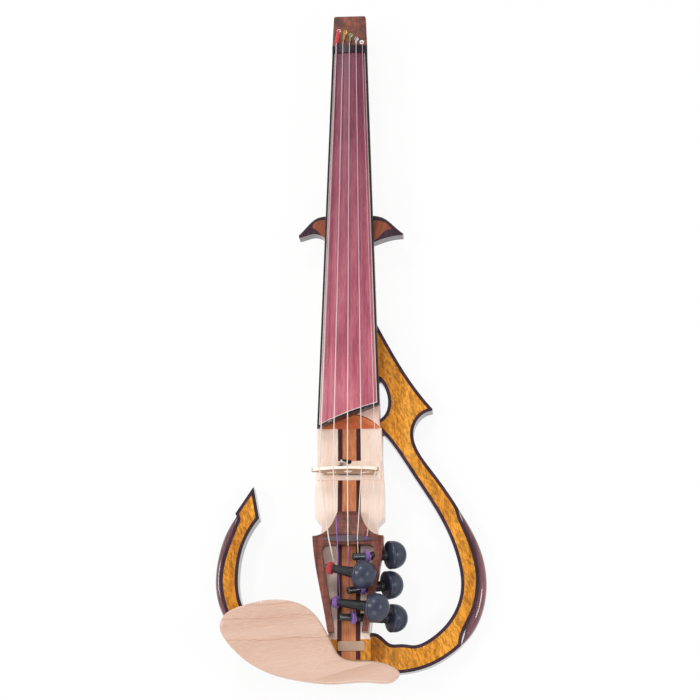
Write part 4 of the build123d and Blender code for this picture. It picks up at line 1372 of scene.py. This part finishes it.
@dataclass
class TailFittings:
    """The output jack and the bare plate at the tail."""

    jack_edge: float = 0.3
    plate_edge: float = 0.15

    def build(self) -> None:
        """Make the group."""
        RoundedPiece("output_jack", CHROME, self.jack_edge, angle=50).build()
        RoundedPiece("name_plate", PLATE_SILVER, self.plate_edge, angle=50).build()


# ------------------------------------------------------------------ studio
@dataclass(frozen=True)
class Lamp:
    """A soft square lamp, with lengths in millimetres and power in watts."""

    name: str
    place: Triple
    aim: Triple
    size: float
    power: float

    def build(self) -> None:
        """Hang the lamp."""
        data = bpy.data.lights.new(self.name, "AREA")
        data.shape = "SQUARE"
        data.size = self.size * MM
        data.energy = self.power
        obj = link(bpy.data.objects.new(self.name, data))
        obj.location = Vector(self.place) * MM
        way = Vector(self.aim) * MM - obj.location
        obj.rotation_euler = way.to_track_quat("-Z", "Y").to_euler()


LAMPS = (
    Lamp("key_head", (-350, 1150, 1300), (0, 40, 0), 420, 8.0),
    Lamp("key_left", (-900, 100, 1050), (0, 40, 0), 300, 5.0),
    Lamp("key_right", (950, -150, 950), (0, 40, 0), 300, 3.6),
    Lamp("tail_fill", (-150, -1100, 800), (0, -20, 0), 600, 3.5),
)


@dataclass
class Studio:
    """Pale floor, soft lamps and the camera."""

    target: Triple = (0.3, 93.7, 24.0)
    towards: Triple = (0.075, -0.24, 1.0)
    distance: float = 1700.0
    lens: float = 115.9
    roll: float = 0.17
    floor_half: float = 3000.0
    floor_drop: float = 0.3
    floor_glow: float = 0.9
    horizon: float = 0.9
    zenith: float = 0.42

    def build(self) -> None:
        """Make floor, lamps, world and camera."""
        self.floor()
        for lamp in LAMPS:
            lamp.build()
        self.world()
        self.camera()

    def floor(self) -> None:
        """A white floor that keeps the shadow."""
        h = self.floor_half
        bm = bmesh.new()
        bm.faces.new([bm.verts.new((x, y, -self.floor_drop))
                      for x, y in ((-h, -h), (h, -h), (h, h), (-h, h))])
        obj = link(from_bmesh(bm, "floor"))
        s = Shader("floor_white")
        s.colour((0.86, 0.86, 0.86, 1.0))
        s.gloss(0.9, specular=0.1)
        glow = s.node("ShaderNodeEmission", {"Color": (1, 1, 1, 1), "Strength": 1.0})
        ray = s.node("ShaderNodeLightPath").outputs
        seen = s.maths("MAXIMUM", ray["Is Camera Ray"], ray["Is Glossy Ray"])
        seen = s.maths("MAXIMUM", seen, ray["Is Transmission Ray"])
        share = s.maths("MULTIPLY", seen, self.floor_glow)
        s.feed(s.output.inputs["Surface"],
               s.node("ShaderNodeMixShader", {0: share, 1: s.surface, 2: glow}))
        obj.data.materials.append(s.material)

    def world(self) -> None:
        """White light from all round, weaker from straight above than from the sides."""
        world = bpy.data.worlds.new("studio")
        bpy.context.scene.world = world
        world.use_nodes = True
        w = Wiring(world.node_tree)
        ray = w.node("ShaderNodeLightPath").outputs
        seen = w.node("ShaderNodeMath", {0: ray["Is Camera Ray"], 1: ray["Is Transmission Ray"]},
                      operation="MAXIMUM")
        way = w.node("ShaderNodeSeparateXYZ", {
            "Vector": w.node("ShaderNodeTexCoord").outputs["Generated"]})
        sky = w.node("ShaderNodeMapRange", {
            "Value": way.outputs["Z"], "From Min": 0.15, "From Max": 0.95,
            "To Min": self.horizon, "To Max": self.zenith})
        strength = w.node("ShaderNodeMix", {"Factor": seen, "A": sky, "B": 1.0})
        background = w.tree.nodes["Background"].inputs
        w.feed(background["Color"], (1, 1, 1, 1))
        w.feed(background["Strength"], strength)

    def camera(self) -> None:
        """The camera, nearly straight above the instrument."""
        data = bpy.data.cameras.new("camera")
        data.lens = self.lens
        data.sensor_width = 36.0
        camera = link(bpy.data.objects.new("camera", data))
        back = Vector(self.towards).normalized()
        right = Vector((0, 1, 0)).cross(back).normalized()
        turn = Matrix.Rotation(math.radians(self.roll), 3, back)
        camera.matrix_world = Matrix.Translation((Vector(self.target) + back * self.distance) * MM) @ (
            turn @ Matrix((right, back.cross(right), back)).transposed()).to_4x4()
        bpy.context.scene.camera = camera
        bpy.context.scene.view_settings.view_transform = "Standard"


def main() -> None:
    """Build the studio and the instrument."""
    logging.basicConfig(level=logging.INFO, format="%(name)s: %(message)s")
    Studio().build()
    for assembly in (Beam(), Board(), Head(), SideArms(), HandStops(), Bridge(), PegFrame(),
                     StringSet(), ChinRest(), TailFittings()):
        assembly.build()
        LOG.info("%s done", type(assembly).__name__)
    ribs, rings = ribs_tree(CASING_BLACK), rings_tree(CASING_BLACK)
    coils = {silk.name: coil_tree(silk) for silk in (SILK_RED, SILK_PURPLE)}
    for name in STRING_FINISHES:
        silk, shaded = (SILK_RED, SILK_RED_SHADED) if name == "c" else (SILK_PURPLE, SILK_PURPLE_SHADED)
        GearedPeg(name, silk, shaded).build(ribs, rings, coils[silk.name])


if __name__ == "__main__":
    main()
